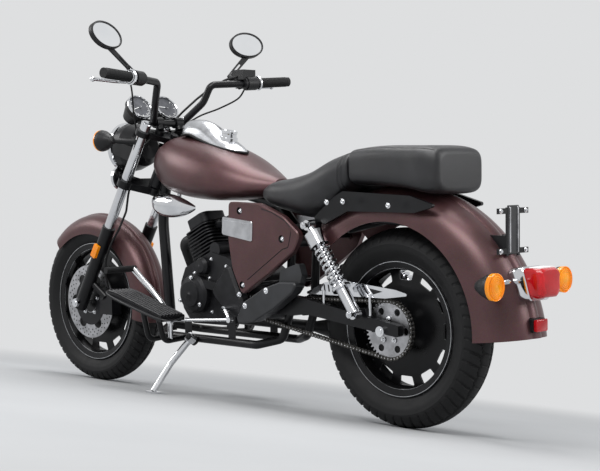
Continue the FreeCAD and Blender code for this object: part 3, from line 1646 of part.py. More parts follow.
def shock_springs():
    """A coil of round wire between each shock absorber's seat and its cup."""
    items = []
    for side in SIDES:
        low, high = shock_ends(side)
        length = (high - low).Length
        rise = length - CUP_DEPTH - SPRING_SEAT - 2 * SPRING_WIRE_RADIUS - 2 * SEAT_GAP
        radius = SPRING_RADIUS - SPRING_WIRE_RADIUS
        helix = Part.Wire(Part.makeHelix(rise / SPRING_TURNS, rise, radius).Edges)
        coil = helix.makePipeShell([spring_section(radius)], True, True)
        start = low + unit(high - low) * (SPRING_SEAT + SPRING_WIRE_RADIUS + SEAT_GAP)
        turn = FreeCAD.Rotation(Vector(0, 0, 1), high - low)
        coil.Placement = FreeCAD.Placement(start, turn)
        items.append(coil)
    return Part.makeCompound(items)


def chain():
    front = Vector(FRONT_SPROCKET_X, 0, FRONT_SPROCKET_Z)
    rear = rear_axle_point()
    big = pitch_radius(REAR_SPROCKET_TEETH)
    small = pitch_radius(FRONT_SPROCKET_TEETH)
    run = front - rear
    tilt = math.atan2(run.z, run.x)
    spread = math.acos((big - small) / run.Length)

    def loop(extra):
        upper = tilt + spread
        lower = tilt - spread

        def spot(middle, radius, angle):
            return middle + Vector(math.cos(angle), 0, math.sin(angle)) * (radius + extra)

        return [
            Part.Arc(
                spot(rear, big, upper), spot(rear, big, tilt + math.pi), spot(rear, big, lower)
            ).toShape(),
            Part.LineSegment(spot(rear, big, lower), spot(front, small, lower)).toShape(),
            Part.Arc(
                spot(front, small, lower), spot(front, small, tilt), spot(front, small, upper)
            ).toShape(),
            Part.LineSegment(spot(front, small, upper), spot(rear, big, upper)).toShape(),
        ]

    outer = Part.Face(Part.Wire(loop(CHAIN_HEIGHT / 2)))
    inner = Part.Face(Part.Wire(loop(-CHAIN_HEIGHT / 2)))
    band = outer.cut(inner)
    sides = []
    for side in SIDES:
        wall = (CHAIN_WIDTH - CHAIN_PLATE_GAP) / 2
        low = CHAIN_Y + side * (CHAIN_WIDTH / 2 + CHAIN_PLATE_GAP / 2) / 2 - wall / 2
        piece = band.copy()
        piece.translate(Vector(0, low, 0))
        sides.append(piece.extrude(Vector(0, wall, 0)))
    return Part.makeCompound(sides)


def chain_guard():
    """A flat bright guard over the upper run of the chain, on two lugs of the swingarm."""
    outline = [(342, 400), (246, 441), (157, 449), (-39, 432), (-101, 418), (0, 404), (183, 402)]
    near = SWINGARM_Y - 9
    plate = side_plate(outline, near, near + 3, 4)
    lugs = []
    for x, z in ((250, 410), (60, 408)):
        lugs.append(rod(Vector(x, near + 5, z - 60), Vector(x, near + 5, z + 6), 5))
    return fused([plate] + lugs)


def rounded_wire(x, half_width, low, high, radius):
    """A rounded rectangle across the machine."""
    corners = [
        Vector(x, -half_width, low),
        Vector(x, half_width, low),
        Vector(x, half_width, high),
        Vector(x, -half_width, high),
    ]
    return Part.Wire(corner_edges(corners, radius, True))


def tail_lamp():
    """The red tail lamp's lens, and the reflector lower on the mudguard."""
    lens_wires = [
        rounded_wire(-452, 36, 434, 494, 14),
        rounded_wire(-500, 40, 430, 506, 16),
        rounded_wire(-519, 36, 434, 502, 14),
    ]
    lamp = Part.makeLoft(lens_wires, True, True)
    reflector = Part.makeLoft(
        [rounded_wire(-480, 27, 332, 366, 6), rounded_wire(-490, 27, 333, 367, 6)], True, True
    )
    return Part.makeCompound([lamp, reflector.cut(rear_mudguard_mass(0))])


def tail_lamp_base():
    """The lamp's foot on the mudguard, the cross bar and the signals' shells, and the wedge."""
    mass = rear_mudguard_mass(0)
    foot = Part.makeLoft(
        [rounded_wire(-400, 40, 424, 496, 14), rounded_wire(-452, 42, 428, 500, 16)], True, True
    )
    bar_end = REAR_LAMP.y - 20
    bar = rod(Vector(-412, -bar_end, 470), Vector(-412, bar_end, 470), 9)
    shapes = [foot, bar]
    for side in SIDES:
        face = Vector(REAR_LAMP.x, side * REAR_LAMP.y, REAR_LAMP.z)
        shapes.append(turned(lamp_shell_profile(), face, Vector(-1, 0, 0)))
    wedge = Part.makeLoft(
        [rounded_wire(-440, 24, 326, 372, 6), rounded_wire(-479.5, 29, 330, 369, 6)], True, True
    )
    return Part.makeCompound([fused(shapes).cut(mass), wedge.cut(mass)])


def rear_indicator_lenses():
    items = []
    for side in SIDES:
        items.append(lens(Vector(REAR_LAMP.x, side * REAR_LAMP.y, REAR_LAMP.z), Vector(-1, 0, 0)))
    return Part.makeCompound(items)


PLATE_X = -392.0
PLATE_HOLE_Y = 60.0
PLATE_HOLE_HEIGHTS = (556, 670)
PLATE_HOLE_RADIUS = 3.2


def plate_bracket():
    """Two upright strips with a drilled tab at each corner, on struts from the mudguard."""
    face = Part.makeBox(4, 10, 138, Vector(PLATE_X, 22, 542))
    shapes = [face, Part.makeBox(4, 10, 138, Vector(PLATE_X, -32, 542))]
    for height in (560, 640):
        shapes.append(Part.makeBox(4, 60, 12, Vector(PLATE_X, -30, height)))
    for side in SIDES:
        for height in PLATE_HOLE_HEIGHTS:
            low = min(side * 22, side * 74)
            shapes.append(Part.makeBox(4, 52, 16, Vector(PLATE_X, low, height - 8)))
        outline = [(PLATE_X + 2, 552), (PLATE_X + 2, 600), (-320, 600), (-330, 552)]
        strut = side_plate(outline, -4, 4)
        strut.translate(Vector(0, side * 27, 0))
        shapes.append(strut)
    bracket = fused(shapes).cut(rear_mudguard_mass(0))
    for side in SIDES:
        for height in PLATE_HOLE_HEIGHTS:
            hole = Vector(PLATE_X - 5, side * PLATE_HOLE_Y, height)
            bracket = bracket.cut(rod(hole, hole + Vector(14, 0, 0), PLATE_HOLE_RADIUS))
    return bracket


def rear_caliper():
    """A caliper astride the rear disc, on an arm down from the swingarm."""
    centre = rear_axle_point() + Vector(100, REAR_DISC_Y, -24)
    body = Part.makeBox(60, 40, 74, centre + Vector(-30, -20, -40))
    slot_start = centre + Vector(-200, -DISC_WALL / 2 - 1.5, -100)
    slot = Part.makeBox(214, DISC_WALL + 3, 200, slot_start)
    arm = rod(centre + Vector(0, -18, 30), Vector(96, -SWINGARM_Y + SWINGARM_HALF_WALL, 334), 9)
    return fused([body.cut(slot), arm])


# Side stand


def tread_lift():
    """How far a round tread lifts its axle plane when the machine leans."""
    return CROWN_RADIUS * (1 - math.cos(math.radians(LEAN_DEG)))


def stand_down():
    """The leg when down: its end is one foot's thickness above the leaned machine's floor."""
    lean = math.radians(LEAN_DEG)
    across = STAND_PIVOT.y + STAND_SPREAD
    height = (STAND_FOOT_WALL - tread_lift() + across * math.sin(lean)) / math.cos(lean)
    return Vector(STAND_FORWARD, STAND_SPREAD, height - STAND_PIVOT.z)


def stand_axis():
    """The hinge that carries the stand from down to folded."""
    return unit(stand_down().cross(STAND_FOLDED_WAY))


def stand_fold_degrees():
    return math.degrees(stand_down().getAngle(STAND_FOLDED_WAY))


def side_stand():
    """The stand's leg, its eye on the hinge pin and a round foot that lies on the floor."""
    lean = math.radians(LEAN_DEG)
    end = STAND_PIVOT + stand_down()
    ahead = unit(stand_down().cross(stand_axis()))
    knee = STAND_PIVOT + stand_down() * 0.5 + ahead * 12
    leg = bent_rod([STAND_PIVOT, knee, end], STAND_RADIUS, [0, 60, 0])
    reach = stand_axis() * STAND_EYE_HALF
    eye = rod(STAND_PIVOT - reach, STAND_PIVOT + reach, 17)
    foot = Part.makeCylinder(
        STAND_FOOT_RADIUS, STAND_FOOT_WALL, end, Vector(0, math.sin(lean), -math.cos(lean))
    )
    bore = rod(STAND_PIVOT - reach * 2, STAND_PIVOT + reach * 2, STAND_PIN_RADIUS + RUNNING_FIT)
    return fused([leg, eye, foot]).cut(bore)


NODES = {
    "front_rim": front_rim,
    "front_tyre": front_tyre,
    "front_disc": front_disc,
    "rear_rim": rear_rim,
    "rear_tyre": rear_tyre,
    "rear_disc": rear_disc,
    "rear_sprocket": rear_sprocket,
    "fork_tubes": fork_tubes,
    "fork_sliders": fork_sliders,
    "front_axle": front_axle,
    "triple_clamps": triple_clamps,
    "front_mudguard": front_mudguard,
    "headlamp_shell": headlamp_shell,
    "headlamp_glass": headlamp_glass,
    "headlamp_bracket": headlamp_bracket,
    "horn": horn,
    "gauges": gauges,
    "handlebar": handlebar,
    "grips": grips,
    "control_housings": control_housings,
    "hand_levers": hand_levers,
    "mirrors": mirrors,
    "mirror_glasses": mirror_glasses,
    "front_indicators": front_indicators,
    "front_amber_lenses": front_amber_lenses,
    "front_caliper": front_caliper,
    "brake_hose": brake_hose,
    "frame_backbone": frame_backbone,
    "frame_cradle": frame_cradle,
    "frame_rear": frame_rear,
    "swingarm": swingarm,
    "rear_axle": rear_axle,
    "fuel_tank": fuel_tank,
    "tank_console": tank_console,
    "saddle": saddle,
    "pillion_pad": pillion_pad,
    "rear_mudguard": rear_mudguard,
    "mudguard_rails": mudguard_rails,
    "side_covers": side_covers,
    "crankcase": crankcase,
    "engine_covers": engine_covers,
    "cylinder": cylinder,
    "cylinder_head": cylinder_head,
    "carburettor": carburettor,
    "exhaust": exhaust,
    "horn_cover": horn_cover,
    "pivot_covers": pivot_covers,
    "floorboards": floorboards,
    "gear_linkage": gear_linkage,
    "brake_pedal": brake_pedal,
    "shock_bodies": shock_bodies,
    "shock_springs": shock_springs,
    "chain": chain,
    "chain_guard": chain_guard,
    "tail_lamp": tail_lamp,
    "tail_lamp_base": tail_lamp_base,
    "rear_indicator_lenses": rear_indicator_lenses,
    "plate_bracket": plate_bracket,
    "rear_caliper": rear_caliper,
    "side_stand": side_stand,
}


# Where one piece seats in or round another, it is cut to the other's form.
SEATS = {
    "cylinder": ["crankcase", "cylinder_head"],
    "frame_cradle": ["swingarm", "frame_backbone"],
    "frame_rear": ["frame_cradle", "frame_backbone"],
    "floorboards": ["frame_cradle"],
    "gear_linkage": ["floorboards"],
    "brake_pedal": ["floorboards"],
    "hand_levers": ["control_housings"],
    "mirrors": ["control_housings"],
    "brake_hose": ["control_housings", "front_caliper"],
    "front_caliper": ["fork_sliders"],
    "exhaust": ["cylinder_head", "swingarm"],
    "carburettor": ["cylinder_head"],
    "horn": ["triple_clamps", "headlamp_shell", "headlamp_glass"],
    "headlamp_bracket": ["fork_tubes", "headlamp_shell"],
    "front_indicators": ["headlamp_bracket"],
    "fork_sliders": ["front_mudguard"],
    "rear_caliper": ["swingarm"],
    "saddle": ["mudguard_rails"],
    "chain_guard": ["swingarm"],
    "tail_lamp": ["tail_lamp_base"],
}


def lean_placement():
    """Lean to the left about the line where the tyres meet the floor."""
    turn = FreeCAD.Rotation(Vector(1, 0, 0), -LEAN_DEG)
    return FreeCAD.Placement(Vector(0, 0, tread_lift()), turn)


def parked(shapes):
    """The placement that leans the machine and centres its plan over the origin."""
    lean = lean_placement()
    leaned = []
    for shape in shapes:
        copy = shape.copy()
        copy.Placement = lean.multiply(copy.Placement)
        leaned.append(copy)
    plan = Part.makeCompound(leaned).optimalBoundingBox()
    shift = Vector(-(plan.XMin + plan.XMax) / 2, -(plan.YMin + plan.YMax) / 2, 0)
    return FreeCAD.Placement(shift, FreeCAD.Rotation()).multiply(lean)


def main():
    os.makedirs("parts", exist_ok=True)
    shapes = {name: make() for name, make in NODES.items()}
    for name, others in SEATS.items():
        for other in others:
            shapes[name] = shapes[name].cut(shapes[other])
    place = parked(shapes.values())
    for name, shape in shapes.items():
        shape.Placement = place.multiply(shape.Placement)
        shape.exportStep("parts/" + name + ".step")
    return place


PLACE = main()
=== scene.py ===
# %% [markdown]
# # A parked cruiser motorcycle
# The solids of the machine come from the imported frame: tubes, sheet metal, engine castings and
# joints. This file gives them their finishes and adds what is too fine or too soft for the
# frame: tyre tread, chain links, upholstery, dials, lenses, bolts and cables.

# %% Load the frame
import json
import math

import bmesh
import bpy
import numpy as np
from mathutils import Matrix, Vector


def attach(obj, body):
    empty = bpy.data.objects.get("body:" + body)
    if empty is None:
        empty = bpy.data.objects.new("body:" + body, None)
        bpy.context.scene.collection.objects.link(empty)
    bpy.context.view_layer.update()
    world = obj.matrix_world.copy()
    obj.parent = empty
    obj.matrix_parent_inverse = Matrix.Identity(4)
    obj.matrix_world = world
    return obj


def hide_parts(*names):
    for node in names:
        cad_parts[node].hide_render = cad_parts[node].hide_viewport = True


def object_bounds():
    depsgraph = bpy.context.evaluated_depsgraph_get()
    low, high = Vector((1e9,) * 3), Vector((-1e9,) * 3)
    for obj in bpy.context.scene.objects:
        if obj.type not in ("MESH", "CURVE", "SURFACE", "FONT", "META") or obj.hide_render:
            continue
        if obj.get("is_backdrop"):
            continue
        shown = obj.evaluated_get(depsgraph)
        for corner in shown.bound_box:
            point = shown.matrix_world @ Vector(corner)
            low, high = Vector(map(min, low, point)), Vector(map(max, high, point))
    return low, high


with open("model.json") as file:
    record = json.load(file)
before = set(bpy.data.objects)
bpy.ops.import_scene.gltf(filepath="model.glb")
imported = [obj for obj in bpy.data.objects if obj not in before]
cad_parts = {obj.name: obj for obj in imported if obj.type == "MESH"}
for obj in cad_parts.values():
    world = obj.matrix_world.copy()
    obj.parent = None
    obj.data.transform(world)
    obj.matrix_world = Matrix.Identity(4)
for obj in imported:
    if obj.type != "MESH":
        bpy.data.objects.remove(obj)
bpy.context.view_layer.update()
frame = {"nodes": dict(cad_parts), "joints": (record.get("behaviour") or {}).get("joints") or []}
nodes = frame["nodes"]
joint_at = {joint["name"]: Vector(joint["pos_m"]) for joint in frame["joints"]}

# %% [markdown]
# A motorcycle is drawn upright, but this one is parked, so it leans on its side stand. It could
# be modelled leaning, with every number skewed. Here each shape is drawn upright in millimetres,
# X forward, Y left, Z up from the ground under the rear axle, and one matrix leans it.

# %% The leaning machine
LEAN_DEG = 9.5
WHEELBASE = 1500.0
WHEEL_RADIUS = {"rear": 307.0, "front": 302.0}
axle = {
    "rear": np.array((0, 0, WHEEL_RADIUS["rear"])),
    "front": np.array((WHEELBASE, 0, WHEEL_RADIUS["front"])),
}
lean = Matrix.Rotation(math.radians(-LEAN_DEG), 4, "X")
ground = joint_at["rear_wheel_spin"] - (lean @ Vector(axle["rear"])) / 1000
upright = Matrix.Translation(ground) @ lean @ Matrix.Diagonal((0.001, 0.001, 0.001, 1))
print("front axle is off by", (upright @ Vector(axle["front"]) - joint_at["front_wheel_spin"]).length)


def upright_points(points):
    """Points of the leaning frame in metres, as upright millimetres."""
    back = np.array(upright.inverted())
    return np.asarray(points, float) @ back[:3, :3].T + back[:3, 3]

# %% [markdown]
# The fork leans back by its rake, and most of the front end lines up with it. Measuring along
# the fork keeps clamps and caps square to the legs.

# %% Along the fork
RAKE_DEG = 31.0
rake = math.radians(RAKE_DEG)
fork_up = np.array((-math.sin(rake), 0, math.cos(rake)))


def fork_point(along, across):
    """A point so far up the fork from the front axle, and to the left of its middle."""
    return axle["front"] + fork_up * along + np.array((0, across, 0))


print("half a metre up the fork is at", fork_point(500, 0).round(1))

# %% [markdown]
# The camera stands low on the left, behind the rear wheel, with a long lens. Its place and turn
# were found by lining up axles, lamps and the bar ends with the photograph. The machine is
# upright there, so the camera leans with it.

# %% Camera
CAMERA_PLACE = (-2728.1, 3271.7, 805.0)
CAMERA_YAW, CAMERA_PITCH, CAMERA_ROLL = (math.radians(a) for a in (-45.79, -2.87, -0.61))
FOCAL_PIXELS, FRAME_WIDTH, SENSOR = 1398.7, 600, 36.0

ahead = Vector(
    (
        math.cos(CAMERA_YAW) * math.cos(CAMERA_PITCH),
        math.sin(CAMERA_YAW) * math.cos(CAMERA_PITCH),
        math.sin(CAMERA_PITCH),
    )
)
level = ahead.cross(Vector((0, 0, 1))).normalized()
above = level.cross(ahead)
side = level * math.cos(CAMERA_ROLL) + above * math.sin(CAMERA_ROLL)
above = above * math.cos(CAMERA_ROLL) - level * math.sin(CAMERA_ROLL)
turn = lean.to_3x3() @ Matrix((side, above, -ahead)).transposed()
camera_data = bpy.data.cameras.new("camera")
camera_data.sensor_width = SENSOR
camera_data.lens = FOCAL_PIXELS / FRAME_WIDTH * SENSOR
camera = bpy.data.objects.new("camera", camera_data)
camera.matrix_world = Matrix.Translation(upright @ Vector(CAMERA_PLACE)) @ turn.to_4x4()
bpy.context.scene.collection.objects.link(camera)
bpy.context.scene.camera = camera
print("lens", round(camera_data.lens, 2), "camera height", round(camera.location.z, 3))

# %% [markdown]
# ## Making materials
# A finish is a small graph of nodes. Colours are written as the eye names them, in sRGB hex, and
# the renderer needs linear light, so one function converts them. Another adds a node, sets its
# values and links its inputs.

# %% Colour and node helpers
def linear(hex_colour):
    """An sRGB hex colour as linear red, green, blue and alpha."""
    values = [int(hex_colour[i : i + 2], 16) / 255 for i in (1, 3, 5)]
    bent = [v / 12.92 if v <= 0.04045 else ((v + 0.055) / 1.055) ** 2.4 for v in values]
    return (*bent, 1.0)


def add_node(tree, kind, inputs=None, **settings):
    """Add a node, set what it has, and link or set its inputs."""
    node = tree.nodes.new(kind)
    for name, value in settings.items():
        setattr(node, name, value)
    for socket, value in (inputs or {}).items():
        if isinstance(value, bpy.types.NodeSocket):
            tree.links.new(value, node.inputs[socket])
        else:
            node.inputs[socket].default_value = value
    return node


def new_material(name):
    """An empty material with its tree, its shader and its object-space coordinates."""
    material = bpy.data.materials.new(name)
    material.use_nodes = True
    tree = material.node_tree
    tree.nodes.clear()
    shader = add_node(tree, "ShaderNodeBsdfPrincipled")
    add_node(tree, "ShaderNodeOutputMaterial", {"Surface": shader.outputs["BSDF"]})
    place = add_node(tree, "ShaderNodeTexCoord").outputs["Object"]
    print("material", name)
    return material, tree, shader, place

# %% [markdown]
# No real surface has one even colour and gloss: the spray gun, the mould and handling leave soft
# clouds. An image could show them, but a noise in object coordinates has a real size and no seam.
# A second, finer noise is the grain, sunk by a real depth. Grains that would vanish in the render
# are drawn coarser than real ones.

# %% Clouds and grain
def mottle(tree, place, size_mm, dark, light):
    """Clouds of one real size between two colours, and the noise behind them."""
    noise = add_node(
        tree, "ShaderNodeTexNoise", {"Vector": place, "Scale": 1000.0 / size_mm, "Detail": 4.0}
    )
    ramp = add_node(tree, "ShaderNodeValToRGB", {"Fac": noise.outputs["Fac"]})
    ramp.color_ramp.elements[0].position = 0.35
    ramp.color_ramp.elements[1].position = 0.65
    ramp.color_ramp.elements[0].color = linear(dark)
    ramp.color_ramp.elements[1].color = linear(light)
    return ramp.outputs["Color"], noise.outputs["Fac"]


def clouded(name, dark, light, rough, cloud_mm):
    """A material with clouds in its colour and between two values of roughness."""
    material, tree, shader, place = new_material(name)
    colour, cloud = mottle(tree, place, cloud_mm, dark, light)
    low, high = rough
    ranged = add_node(
        tree,
        "ShaderNodeMapRange",
        {"Value": cloud, "From Min": 0.3, "From Max": 0.7, "To Min": low, "To Max": high},
    )
    tree.links.new(colour, shader.inputs["Base Color"])
    tree.links.new(ranged.outputs["Result"], shader.inputs["Roughness"])
    return material, tree, shader, place, colour


def plain_finish(name, dark, light, rough, metallic, cloud_mm, grain_mm, depth_mm, specular=0.5):
    """A clouded material with a fine relief of a real grain and depth."""
    material, tree, shader, place = clouded(name, dark, light, rough, cloud_mm)[:4]
    grain = add_node(
        tree, "ShaderNodeTexNoise", {"Vector": place, "Scale": 1000.0 / grain_mm, "Detail": 3.0}
    )
    relief = add_node(
        tree,
        "ShaderNodeBump",
        {"Height": grain.outputs["Fac"], "Distance": depth_mm / 1000.0, "Strength": 1.0},
    )
    tree.links.new(relief.outputs["Normal"], shader.inputs["Normal"])
    shader.inputs["Metallic"].default_value = metallic
    shader.inputs["Specular IOR Level"].default_value = specular
    return material

# %% [markdown]
# ### Satin enamel
# The tank, mudguards and side covers are pressed steel, sprayed with a matt metallic enamel: fine
# flakes in a clear coat that was flattened. The eye sees broad soft highlights with no mirror in
# them, and a slight sparkle. A metallic share gives the flake its tinted glow. Real flakes are a
# few hundredths of a millimetre, too fine to show, so they are drawn much coarser.

# %% Satin maroon enamel
FLAKE_MM = 1.6
maroon_enamel, tree, shader, place, colour = clouded(
    "satin_maroon_enamel", "#462829", "#4F2E30", (0.36, 0.42), 90.0
)
flake = add_node(tree, "ShaderNodeTexVoronoi", {"Vector": place, "Scale": 1000.0 / FLAKE_MM})
sparkle = add_node(
    tree,
    "ShaderNodeMix",
    {"Factor": 0.02, "A": colour, "B": flake.outputs["Color"]},
    data_type="RGBA",
)
tree.links.new(sparkle.outputs["Result"], shader.inputs["Base Color"])
shader.inputs["Metallic"].default_value = 0.55
shader.inputs["Specular IOR Level"].default_value = 0.4
shader.inputs["Coat Weight"].default_value = 0.25
shader.inputs["Coat Roughness"].default_value = 0.32

# %% [markdown]
# ### Black paints, castings and plastics
# Frame tubes are powder coated, which leaves a thick, slightly wavy satin skin. The wheels are
# sprayed a glossier enamel. The engine is cast aluminium, and the sand's grain shows through its
# paint. Switch housings are moulded ABS with a fine dull grain, and the exhaust has a dry black
# that stands heat. The eye tells them apart by gloss and grain.

# %% Blacks
# Each call gives two colours, a range of roughness and the metallic share. Then come the size of
# the clouds, the grain and the grain's depth in millimetres, and for some the specular level.
powder_coat = plain_finish(
    "black_powder_coat", "#08080A", "#0E0E11", (0.28, 0.38), 0.0, 60, 1.4, 0.05, 0.3
)
wheel_enamel = plain_finish(
    "gloss_black_enamel", "#070708", "#0C0C0E", (0.26, 0.34), 0.0, 70, 2.5, 0.02, 0.28
)
cast_alloy = plain_finish(
    "painted_cast_aluminium", "#131315", "#1E1E21", (0.40, 0.52), 0.3, 25, 1.1, 0.14, 0.35
)
moulded_abs = plain_finish(
    "moulded_black_abs", "#0D0D0E", "#151517", (0.40, 0.50), 0.0, 40, 0.9, 0.08, 0.35
)
grey_abs = plain_finish("moulded_grey_abs", "#1D1E20", "#28292C", (0.42, 0.52), 0.1, 40, 0.9, 0.06)
exhaust_black = plain_finish(
    "heat_proof_black", "#0D0D0E", "#161618", (0.40, 0.52), 0.2, 50, 1.2, 0.08
)

# %% [markdown]
# ### Bright metal
# Chrome is a mirror that only shows its room, so it needs almost no colour of its own. Satin
# chrome is plated over a matt base, which spreads its highlights. Turned aluminium and brushed
# steel scatter more: their roughness carries the tool marks. Zinc plate is yellower, and the
# chain's steel is dark with oil.

# %% Chrome, steel and aluminium
chrome_plate = plain_finish(
    "chrome_plate", "#D2D3D6", "#E2E3E5", (0.05, 0.11), 1.0, 80, 3.0, 0.01
)
satin_chrome = plain_finish(
    "satin_chrome_plate", "#AEAFB2", "#C2C3C6", (0.27, 0.35), 1.0, 40, 2.0, 0.02
)
machined_alloy = plain_finish(
    "machined_aluminium", "#A8A9AC", "#C6C7C9", (0.26, 0.36), 1.0, 20, 0.8, 0.03
)
brushed_steel = plain_finish(
    "brushed_stainless_steel", "#9C9C9E", "#BDBDC0", (0.28, 0.40), 1.0, 30, 0.7, 0.03
)
zinc_plate = plain_finish(
    "yellow_zinc_plate", "#77736A", "#948F83", (0.30, 0.42), 1.0, 15, 0.8, 0.03
)
oiled_steel = plain_finish(
    "oiled_chain_steel", "#3D3C3A", "#595754", (0.34, 0.48), 1.0, 15, 0.8, 0.03
)

# %% [markdown]
# ### Rubber
# Grips and cables are moulded rubber, dull and even. A new tyre is carbon-black rubber pressed in
# a steel mould: dark, dry and slightly grey where it catches light. The footboards' ribs are
# smoother, so they alone have a gleam, and their rubber is drawn lighter than the board's: a
# painted highlight along the rib tops.

# %% Rubbers
moulded_rubber = plain_finish(
    "moulded_rubber", "#0E0E0F", "#171718", (0.55, 0.70), 0.0, 12, 0.7, 0.12, 0.3
)
tyre_rubber = plain_finish(
    "tyre_rubber", "#0B0B0C", "#131314", (0.58, 0.72), 0.0, 30, 1.5, 0.15, 0.3
)
footboard_rubber_highlight = plain_finish(
    "ribbed_footboard_rubber_painted_highlight", "#151517", "#222225", (0.32, 0.44), 0.0, 18, 0.9, 0.1
)

# %% [markdown]
# ### Vinyl upholstery
# The seat is vinyl with an embossed leather grain over foam. The grain is cells about 2.4 mm
# across, drawn a little coarse so that it shows, and the sheen is soft and wide.

# %% Leather-grain vinyl
GRAIN_CELL_MM = 2.4
CREASE_DEPTH_MM = 0.22
vinyl, tree, shader, place, colour = clouded(
    "leather_grain_vinyl", "#111113", "#1A1A1D", (0.36, 0.48), 45.0
)
cells = add_node(
    tree,
    "ShaderNodeTexVoronoi",
    {"Vector": place, "Scale": 1000.0 / GRAIN_CELL_MM, "Randomness": 0.9},
    feature="DISTANCE_TO_EDGE",
)
crease = add_node(
    tree,
    "ShaderNodeMapRange",
    {"Value": cells.outputs["Distance"], "From Min": 0.0, "From Max": 0.22},
)
relief = add_node(
    tree,
    "ShaderNodeBump",
    {"Height": crease.outputs["Result"], "Distance": CREASE_DEPTH_MM / 1000.0, "Strength": 0.7},
)
tree.links.new(relief.outputs["Normal"], shader.inputs["Normal"])

# %% [markdown]
# ### Lenses, glass and print
# Lamp lenses are dyed acrylic, bright because light passes through them. A share of transmission
# keeps them vivid, and a little glow in the dye's colour is painted light that keeps them bright in
# shade. Mirror glass is silvered on its back, so it is drawn as a smooth metal. The dials are
# printed card.

# %% Lenses, glass and print
def dyed_lens(name, deep, bright, transmission, painted_glow):
    """Acrylic dyed right through, with a painted glow of its own colour."""
    material, tree, shader, _, colour = clouded(name, deep, bright, (0.06, 0.14), 70.0)
    tree.links.new(colour, shader.inputs["Emission Color"])
    shader.inputs["Transmission Weight"].default_value = transmission
    shader.inputs["IOR"].default_value = 1.49
    shader.inputs["Emission Strength"].default_value = painted_glow
    return material


# The last number is the painted glow: emission that stands in for light through the lens.
amber_lens = dyed_lens("amber_acrylic", "#EE8A00", "#FFAE1C", 0.25, 0.16)
red_lens = dyed_lens("red_acrylic", "#A60A12", "#C4141C", 0.25, 0.10)
clear_lens = dyed_lens("clear_polycarbonate", "#F2F4F6", "#FFFFFF", 0.92, 0.0)
silvered_glass = plain_finish(
    "silvered_glass", "#F4F6F8", "#FCFDFE", (0.02, 0.05), 1.0, 120, 6.0, 0.004
)
dial_card = plain_finish("printed_dial_card", "#46474B", "#56575C", (0.4, 0.5), 0.2, 20, 2.0, 0.01)
# White print on the dials, and a painted highlight on the tail lamp's clear strip.
white_print_and_highlight = plain_finish("white_print_and_painted_highlight", "#E6E6E4", "#F4F4F2", (0.4, 0.5), 0.0, 10, 2.0, 0.01)

# %% [markdown]
# ## Finishing the frame's own nodes
# Most nodes keep their mesh and only need a finish. Some are one casting or assembly with two
# finishes, such as a black lamp bucket with a chrome ring. Cutting them apart would change the
# frame, so faces are painted by where they lie.

# %% Paint a node
def face_centres(name):
    """The middles of a node's faces, upright, as x, y and z."""
    polygons = nodes[name].data.polygons
    centres = np.empty(len(polygons) * 3)
    polygons.foreach_get("center", centres)
    return upright_points(centres.reshape(-1, 3)).T


def paint(name, finish, second=None, marked=None):
    """Give a node its finish, and its marked faces a second one."""
    mesh = nodes[name].data
    mesh.materials.clear()
    mesh.materials.append(finish)
    index = np.zeros(len(mesh.polygons), dtype=np.int32)
    if second:
        mesh.materials.append(second)
        index[marked] = 1
        print(name, "has", index.sum(), "of", len(index), "faces in its second finish")
    mesh.polygons.foreach_set("material_index", index)

# %% [markdown]
# The finishes go on by what each piece is made of, as on a paint shop's list. What an added piece
# replaces below is painted too, so that nothing is ever bare.

# %% Pieces with one finish
PAINT_LIST = (
    (powder_coat, "frame_backbone frame_cradle frame_rear swingarm mudguard_rails rear_caliper"),
    (powder_coat, "front_caliper triple_clamps fork_sliders handlebar headlamp_bracket"),
    (powder_coat, "plate_bracket brake_pedal floorboards"),
    (maroon_enamel, "fuel_tank rear_mudguard front_mudguard"),
    (cast_alloy, "crankcase engine_covers cylinder cylinder_head carburettor"),
    (chrome_plate, "tank_console horn_cover side_stand shock_bodies shock_springs rear_axle"),
    (chrome_plate, "front_axle fork_tubes hand_levers chain_guard"),
    (brushed_steel, "front_disc rear_disc rear_sprocket"),
    (oiled_steel, "chain"),
    (moulded_abs, "control_housings front_indicators mirrors gauges"),
    (grey_abs, "pivot_covers"),
    (exhaust_black, "exhaust"),
    (moulded_rubber, "brake_hose grips"),
    (tyre_rubber, "front_tyre rear_tyre"),
    (vinyl, "saddle pillion_pad"),
    (amber_lens, "front_amber_lenses rear_indicator_lenses"),
    (red_lens, "tail_lamp"),
    (clear_lens, "headlamp_glass"),
    (silvered_glass, "mirror_glasses"),
)
painted = 0
for finish, names in PAINT_LIST:
    for name in names.split():
        paint(name, finish)
        painted += 1
print("nodes with one finish", painted, "of", len(nodes))

# %% [markdown]
# The side covers are pressed in round their bolts and along one line. Shade makes those faces
# read black, so they are finished black. The gear lever has a rubber peg, the tail lamp's base a
# bright middle, both front lamps a chrome ring, and each rim a turned edge.

# %% Pieces with two finishes
COVER_BOLTS = ((573, 660), (382, 574), (564, 419))
COVER_GROOVE = ((471, 668), (421, 656), (366, 632), (336, 606), (352, 548), (378, 541), (538, 437))
COVER_FACE_Y, RECESS_RADIUS, GROOVE_HALF_WIDTH = 159.9, 12.6, 2.4
x, y, z = face_centres("side_covers")
sunken = np.zeros(len(x), bool)
for bolt_x, bolt_z in COVER_BOLTS:
    sunken |= np.hypot(x - bolt_x, z - bolt_z) < RECESS_RADIUS
for (x0, z0), (x1, z1) in zip(COVER_GROOVE, COVER_GROOVE[1:]):
    run_x, run_z = x1 - x0, z1 - z0
    along = np.clip(((x - x0) * run_x + (z - z0) * run_z) / (run_x**2 + run_z**2), 0, 1)
    sunken |= np.hypot(x - x0 - along * run_x, z - z0 - along * run_z) < GROOVE_HALF_WIDTH
# The sunken faces take the black ABS finish as painted shade.
paint("side_covers", maroon_enamel, moulded_abs, sunken & (np.abs(y) < COVER_FACE_Y))

PEG_INNER_Y, PEG_LOW_Z = 200, 425
x, y, z = face_centres("gear_linkage")
paint("gear_linkage", chrome_plate, moulded_rubber, (y > PEG_INNER_Y) & (z > PEG_LOW_Z))

